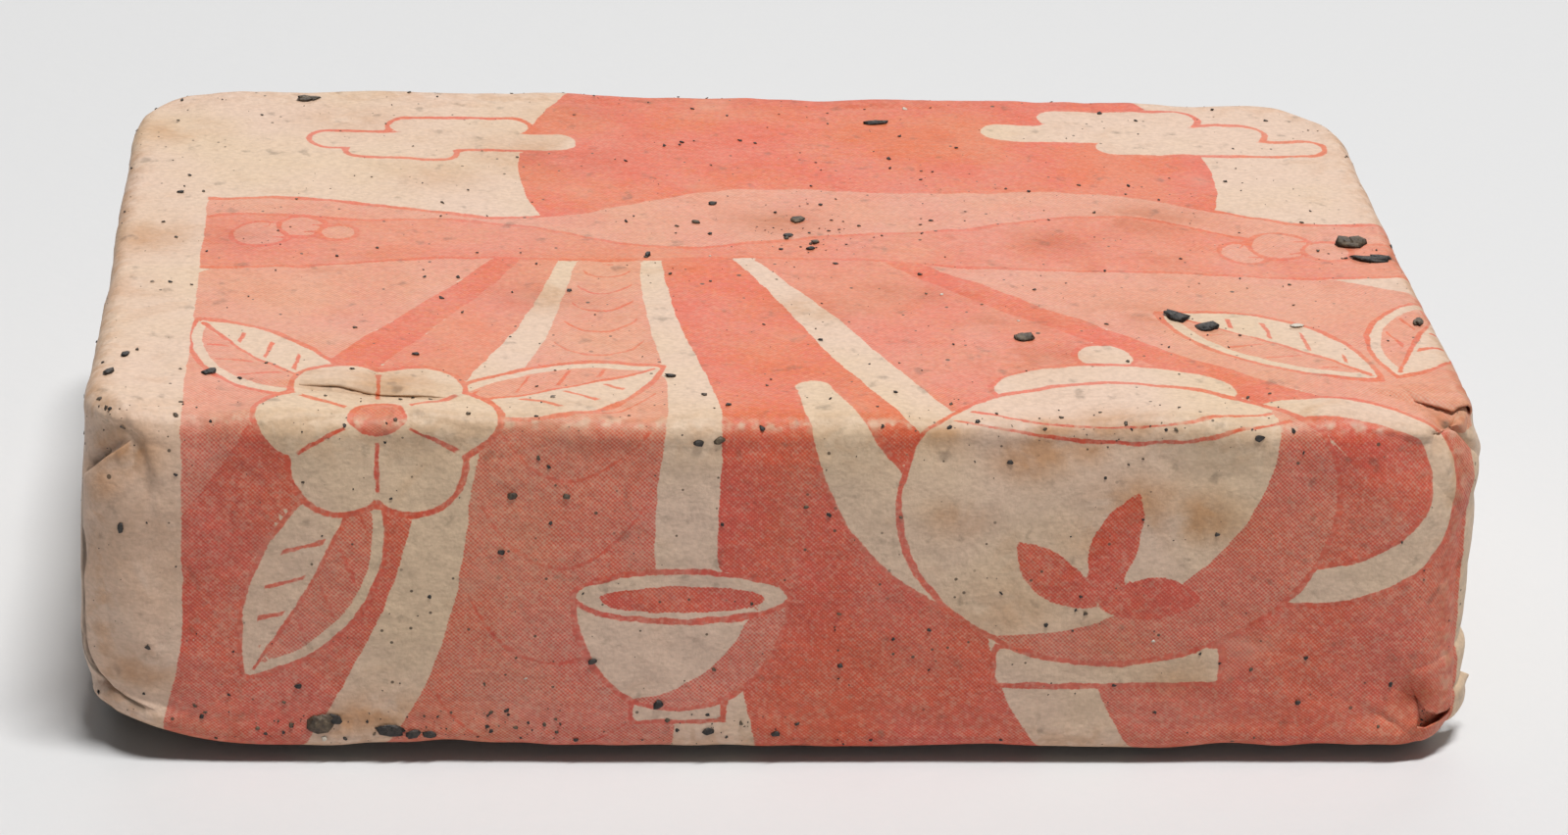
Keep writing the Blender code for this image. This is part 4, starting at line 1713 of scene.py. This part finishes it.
@dataclass
class ClingingTea:
    """The flakes, crumbs and dust of tea on the paper."""

    form: BrickForm
    flakes: tuple[Flake, ...] = (
        Flake((73.8, 52.0), 4.2, 3.4, 10, Shade.BROWN),
        Flake((75.6, 47.2), 5.4, 2.7, -8),
        Flake((48.4, 29.8), 3.6, 3.2, -35),
        Flake((51.6, 27.0), 3.2, 2.5, 20),
        Flake((28.9, 22.6), 3.2, 2.4, 15, Shade.BROWN),
        Flake((17.6, 90.0), 4.0, 1.6, 5),
        Flake((-57.5, 95.4), 3.4, 1.6, 0, Shade.BROWN),
        Flake((-66.3, 11.7), 2.2, 1.4, 30),
        Flake((-77.7, 11.3), 2.4, 1.2, 65),
        Flake((-76.2, 16.5), 1.8, 1.0, 70),
        Flake((-42.8, 17.4), 1.2, 0.9, 10),
        Flake((-72.5, 64.5), 1.1, 0.8, 0),
        Flake((-5.7, 63.0), 1.3, 1.0, 25),
        Flake((-8.1, 56.7), 1.2, 1.0, 0, Shade.BROWN),
        Flake((-14.6, 46.5), 1.4, 0.8, 80),
        Flake((4.7, 57.6), 2.4, 1.6, 40, Shade.BROWN),
        Flake((3.2, 53.0), 1.5, 1.1, 10),
        Flake((6.4, 51.0), 1.6, 1.2, 70, Shade.BROWN),
        Flake((5.7, 49.0), 1.4, 1.0, 0),
        Flake((-13.4, 12.2), 1.5, 1.1, 15),
        Flake((77.6, 28.4), 3.0, 1.4, 75, Shade.BROWN),
        Flake((62.5, 27.0), 2.2, 1.4, 15, Shade.PALE),
        Flake((-10.7, -2.5), 1.5, 1.0, 0),
        Flake((-8.4, -2.3), 1.5, 1.1, 20, Shade.BROWN),
        Flake((53.4, -1.7), 1.5, 0.9, 10),
        Flake((25.0, -5.0), 0.9, 0.7, 0),
        Flake((-53.4, -39.9), 3.9, 2.6, 10, Shade.BROWN),
        Flake((-51.6, -38.9), 2.0, 1.4, -20),
        Flake((-45.4, -41.2), 4.0, 1.7, -5),
        Flake((-42.6, -41.9), 2.0, 1.4, 15),
        Flake((-40.8, -42.2), 2.0, 1.2, -10),
        Flake((-14.3, -36.2), 1.5, 1.2, 60),
        Flake((-8.3, -40.8), 1.7, 1.1, 0),
        Flake((-0.4, -41.3), 1.3, 0.8, 10),
        Flake((-22.1, -30.3), 1.3, 0.9, 20),
        Flake((-25.5, -9.4), 1.0, 0.8, 0, Shade.BROWN),
        Flake((-31.7, -9.4), 1.3, 1.0, 10, Shade.BROWN),
        Flake((-32.8, -16.3), 1.0, 0.8, 0),
        Flake((-55.9, -33.9), 1.0, 0.9, 0),
        Flake((60.9, -36.0), 0.9, 0.7, 0),
        Flake((-76.0, -13.8), 1.6, 0.9, 85),
        Flake((-74.0, -37.6), 1.0, 0.8, 0),
    )
    clusters: tuple[tuple[float, float, float, float, int], ...] = (
        (-78.0, -1.0, 3.0, 2.5, 10),
        (-72.0, 2.0, 6.0, 3.0, 10),
        (5.0, 54.0, 4.0, 6.0, 60),
        (34.0, 0.5, 14.0, 2.5, 44),
        (-38.0, -41.0, 17.0, 1.8, 110),
        (-4.0, -40.5, 9.0, 2.0, 36),
        (74.0, 50.0, 4.0, 4.0, 18),
        (50.0, 27.0, 4.0, 3.0, 18),
        (76.0, -40.5, 3.0, 1.5, 22),
        (-45.0, 6.0, 8.0, 3.0, 26),
        (-10.0, 98.0, 40.0, 2.0, 40),
        (20.0, 60.0, 30.0, 20.0, 60),
    )
    scattered: int = 900
    scatter_s: Spot = (-96.0, 96.0)
    scatter_t: Spot = (-43.0, 140.0)
    lowest: float = -43.5
    widest: float = 104.0
    smallest: float = 0.20
    largest: float = 0.95
    thickness: float = 0.34
    shares: tuple[float, ...] = (0.62, 0.36, 0.02)
    flake_corners: int = 11
    crumb_corners: int = 5
    corner_reach: Spot = (0.36, 0.52)
    corner_height: Spot = (-0.2, 0.5)
    upper_share: float = 0.62
    most_tilt: float = 0.14
    crumb_power: float = 3.2
    crumb_width: Spot = (0.5, 0.95)
    seed: int = 11

    def __post_init__(self) -> None:
        """Start the random draws and one empty mesh for each colour."""
        self.random = random.Random(self.seed)
        self.meshes = {shade: bmesh.new() for shade in Shade}

    def seats(self, spots: list[Spot]) -> list[Matrix]:
        """Return the frame of the paper at each place of the sheet, in metres.

        Args:
            spots: Places of the sheet.

        Returns:
            One frame a place, its z axis facing outwards.
        """
        s, t = np.array(spots).T
        step = 0.3
        here = self.form.shaped(self.form.on_sheet(s, t))
        ahead = self.form.shaped(self.form.on_sheet(s + step, t)) - here
        above = self.form.shaped(self.form.on_sheet(s, t + step)) - here
        frames = []
        for place, along, up in zip(here, ahead, above):
            first = Vector(along).normalized()
            facing = first.cross(Vector(up)).normalized()
            turned = Matrix((first, facing.cross(first), facing)).transposed().to_4x4()
            frames.append(Matrix.Translation(Vector(place) * MM) @ turned)
        return frames

    def chip(self, shade: Shade, matrix: Matrix, size: Point, points: int) -> None:
        """Add one angular chip.

        Args:
            shade: Its colour.
            matrix: Where the chip lies, in metres.
            size: Its length, width and thickness, in millimetres.
            points: How many corners its outline is drawn from.
        """
        mesh = bmesh.new()
        for number in range(points):
            turn = math.tau * (number + self.random.uniform(-0.3, 0.3)) / points
            reach = self.random.uniform(*self.corner_reach)
            high = self.random.uniform(*self.corner_height)
            for level, share in ((high, 1.0), (high * 0.4 + 0.3, self.upper_share)):
                across = math.cos(turn) * reach * share * size[0]
                along = math.sin(turn) * reach * share * size[1]
                spot = Vector((across, along, level * size[2])) * MM
                bmesh.ops.create_vert(mesh, co=matrix @ spot)
        hull = bmesh.ops.convex_hull(mesh, input=mesh.verts)
        spare = [g for g in hull["geom_interior"] if isinstance(g, bmesh.types.BMVert)]
        bmesh.ops.delete(mesh, geom=spare, context="VERTS")
        bmesh.ops.recalc_face_normals(mesh, faces=mesh.faces)
        one = as_mesh(mesh, "chip")
        self.meshes[shade].from_mesh(one)
        bpy.data.meshes.remove(one)

    def lay_flakes(self) -> None:
        """Lay the named flakes; the large ones are a few chips over each other."""
        seats = self.seats([flake.place for flake in self.flakes])
        for flake, seat in zip(self.flakes, seats):
            turned = seat @ Matrix.Rotation(math.radians(flake.turn), 4, "Z")
            thick = self.thickness * min(2.2, 0.5 + 0.5 * flake.width)
            parts = 3 if flake.length > 2.5 else 1
            for number in range(parts):
                share = 1.0 if number == 0 else self.random.uniform(0.5, 0.7)
                aside = 0.0 if number == 0 else 0.28 * flake.length
                along, across = (self.random.uniform(-aside, aside) for _ in range(2))
                spot = Vector((along, across / 2, 0.1))
                tilt = Matrix.Rotation(self.random.uniform(-self.most_tilt, self.most_tilt), 4, "Y")
                size = (flake.length * share, flake.width * share, thick)
                place = turned @ Matrix.Translation(spot * MM) @ tilt
                self.chip(flake.shade, place, size, self.flake_corners)

    def crumb_spots(self) -> list[Spot]:
        """Return the places of the crumbs: clusters, and the rest all over."""
        spots = []
        for s, t, wide, high, count in self.clusters:
            for _ in range(count):
                spots.append((self.random.gauss(s, wide), self.random.gauss(t, high)))
        for _ in range(self.scattered):
            s = self.random.uniform(*self.scatter_s)
            spots.append((s, self.random.uniform(*self.scatter_t)))
        kept = []
        for s, t in spots:
            past_end = abs(s) > self.form.length / 2
            if t > self.lowest and (not past_end or t < self.form.depth):
                kept.append((max(-self.widest, min(self.widest, s)), t))
        return kept

    def lay_crumbs(self) -> None:
        """Lay the crumbs, most of them tiny."""
        for seat in self.seats(self.crumb_spots()):
            share = self.random.random() ** self.crumb_power
            size = self.smallest + (self.largest - self.smallest) * share
            turned = seat @ Matrix.Rotation(self.random.uniform(0.0, math.tau), 4, "Z")
            shade = self.random.choices(list(Shade), self.shares)[0]
            wide = self.random.uniform(*self.crumb_width)
            self.chip(shade, turned, (size, size * wide, size * 0.5), self.crumb_corners)

    def build(self) -> list:
        """Return one piece for each colour of tea."""
        self.lay_flakes()
        self.lay_crumbs()
        finishes = {
            Shade.BLACK: TeaFinish("black_tea", linear(30, 27, 25), linear(62, 55, 49)),
            Shade.BROWN: TeaFinish("brown_tea", linear(66, 54, 42), linear(104, 88, 68)),
            Shade.PALE: TeaFinish("pale_bit", linear(196, 186, 170), linear(222, 214, 200)),
        }
        pieces = []
        for shade, cloud in self.meshes.items():
            mesh = as_mesh(cloud, shade.value)
            pieces.append(new_piece(mesh, f"{shade.value}_flakes", finishes[shade].make()))
        return pieces


@dataclass(frozen=True)
class SoftLight:
    """A soft rectangular light that points at the brick."""

    name: str
    place_m: Point
    size_m: Spot
    power: float

    def hang(self) -> None:
        """Hang the light in the scene."""
        data = bpy.data.lights.new(self.name, "AREA")
        data.shape = "RECTANGLE"
        data.size, data.size_y = self.size_m
        data.energy = self.power
        made = bpy.data.objects.new(self.name, data)
        made.location = self.place_m
        made.rotation_euler = (-Vector(self.place_m)).to_track_quat("-Z", "Y").to_euler()
        bpy.context.scene.collection.objects.link(made)


@dataclass(frozen=True)
class Studio:
    """The camera, the floor and the soft light."""

    shift: Vector
    place: Point = (-48.1, -559.7, 293.8)
    pitch: float = 25.83
    yaw: float = 5.26
    roll: float = 2.65
    lens: float = 114.0
    floor_size_m: float = 6.0
    lights: tuple[SoftLight, ...] = (
        SoftLight("key", (0.18, -0.36, 1.70), (0.60, 0.16), 30.5),
        SoftLight("rear", (0.10, 1.60, 0.78), (1.8, 0.7), 10.2),
        SoftLight("side", (0.85, -0.85, 0.27), (0.5, 0.3), 0.9),
    )
    sky: float = 0.10

    def camera(self) -> None:
        """Set the camera at the photograph's viewing angle."""
        pitch, yaw, roll = (math.radians(a) for a in (self.pitch, self.yaw, self.roll))
        ahead = Vector((math.sin(yaw), math.cos(yaw), 0.0))
        right = Vector((math.cos(yaw), -math.sin(yaw), 0.0))
        look = math.cos(pitch) * ahead - math.sin(pitch) * Vector((0, 0, 1))
        above = math.sin(pitch) * ahead + math.cos(pitch) * Vector((0, 0, 1))
        across = math.cos(roll) * right + math.sin(roll) * above
        upright = math.cos(roll) * above - math.sin(roll) * right
        turn = Matrix((across, upright, -look)).transposed().to_4x4()
        data = bpy.data.cameras.new("camera")
        data.lens = self.lens
        data.sensor_width = 36.0
        data.clip_start = 0.01
        made = bpy.data.objects.new("camera", data)
        place = Vector(self.place) * MM + self.shift
        made.matrix_world = Matrix.Translation(place) @ turn
        bpy.context.scene.collection.objects.link(made)
        bpy.context.scene.camera = made

    def floor(self) -> None:
        """Lay the pale floor."""
        sheet = bmesh.new()
        bmesh.ops.create_grid(sheet, x_segments=1, y_segments=1, size=self.floor_size_m / 2)
        mesh = as_mesh(sheet, "floor")
        mesh.materials.append(FloorFinish().make())
        made = bpy.data.objects.new("floor", mesh)
        bpy.context.scene.collection.objects.link(made)

    def build(self) -> None:
        """Set the camera, the floor, three soft lights and an even surround."""
        self.camera()
        self.floor()
        for light in self.lights:
            light.hang()
        world = bpy.data.worlds.new("surround")
        world.use_nodes = True
        shade = world.node_tree.nodes["Background"]
        shade.inputs["Color"].default_value = WHITE
        shade.inputs["Strength"].default_value = self.sky
        bpy.context.scene.world = world
        bpy.context.scene.view_settings.view_transform = "Standard"


def settle(pieces: list[bpy.types.Object]) -> Vector:
    """Move the meshes of all pieces so that their box stands where the solid's does.

    Args:
        pieces: The pieces that show.

    Returns:
        The move, in metres.
    """
    clouds = [points_of(piece.data) for piece in pieces]
    low = Vector(np.min([cloud.min(axis=0) for cloud in clouds], axis=0))
    high = Vector(np.max([cloud.max(axis=0) for cloud in clouds], axis=0))
    solid_low, solid_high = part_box(NODE)
    shift = (solid_low + solid_high - low - high) / 2
    shift.z = solid_low.z - low.z
    for piece in pieces:
        piece.data.transform(Matrix.Translation(shift))
        piece.data.update()
    return shift


def main() -> None:
    """Build the brick and its surroundings."""
    logging.basicConfig(level=logging.INFO, format="%(message)s")
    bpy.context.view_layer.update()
    form = BrickForm()
    dress = PaperDress(form, GardenPrint())
    paper = PaperFinish().make()
    wrap = Wrap(dress).build(paper)
    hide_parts(NODE)
    pieces = [wrap, *PaperFolds().build(dress, paper), *ClingingTea(form).build()]
    shift = settle(pieces)
    LOG.info("all pieces moved by %s", shift)
    Studio(shift).build()


if __name__ == "__main__":
    main()
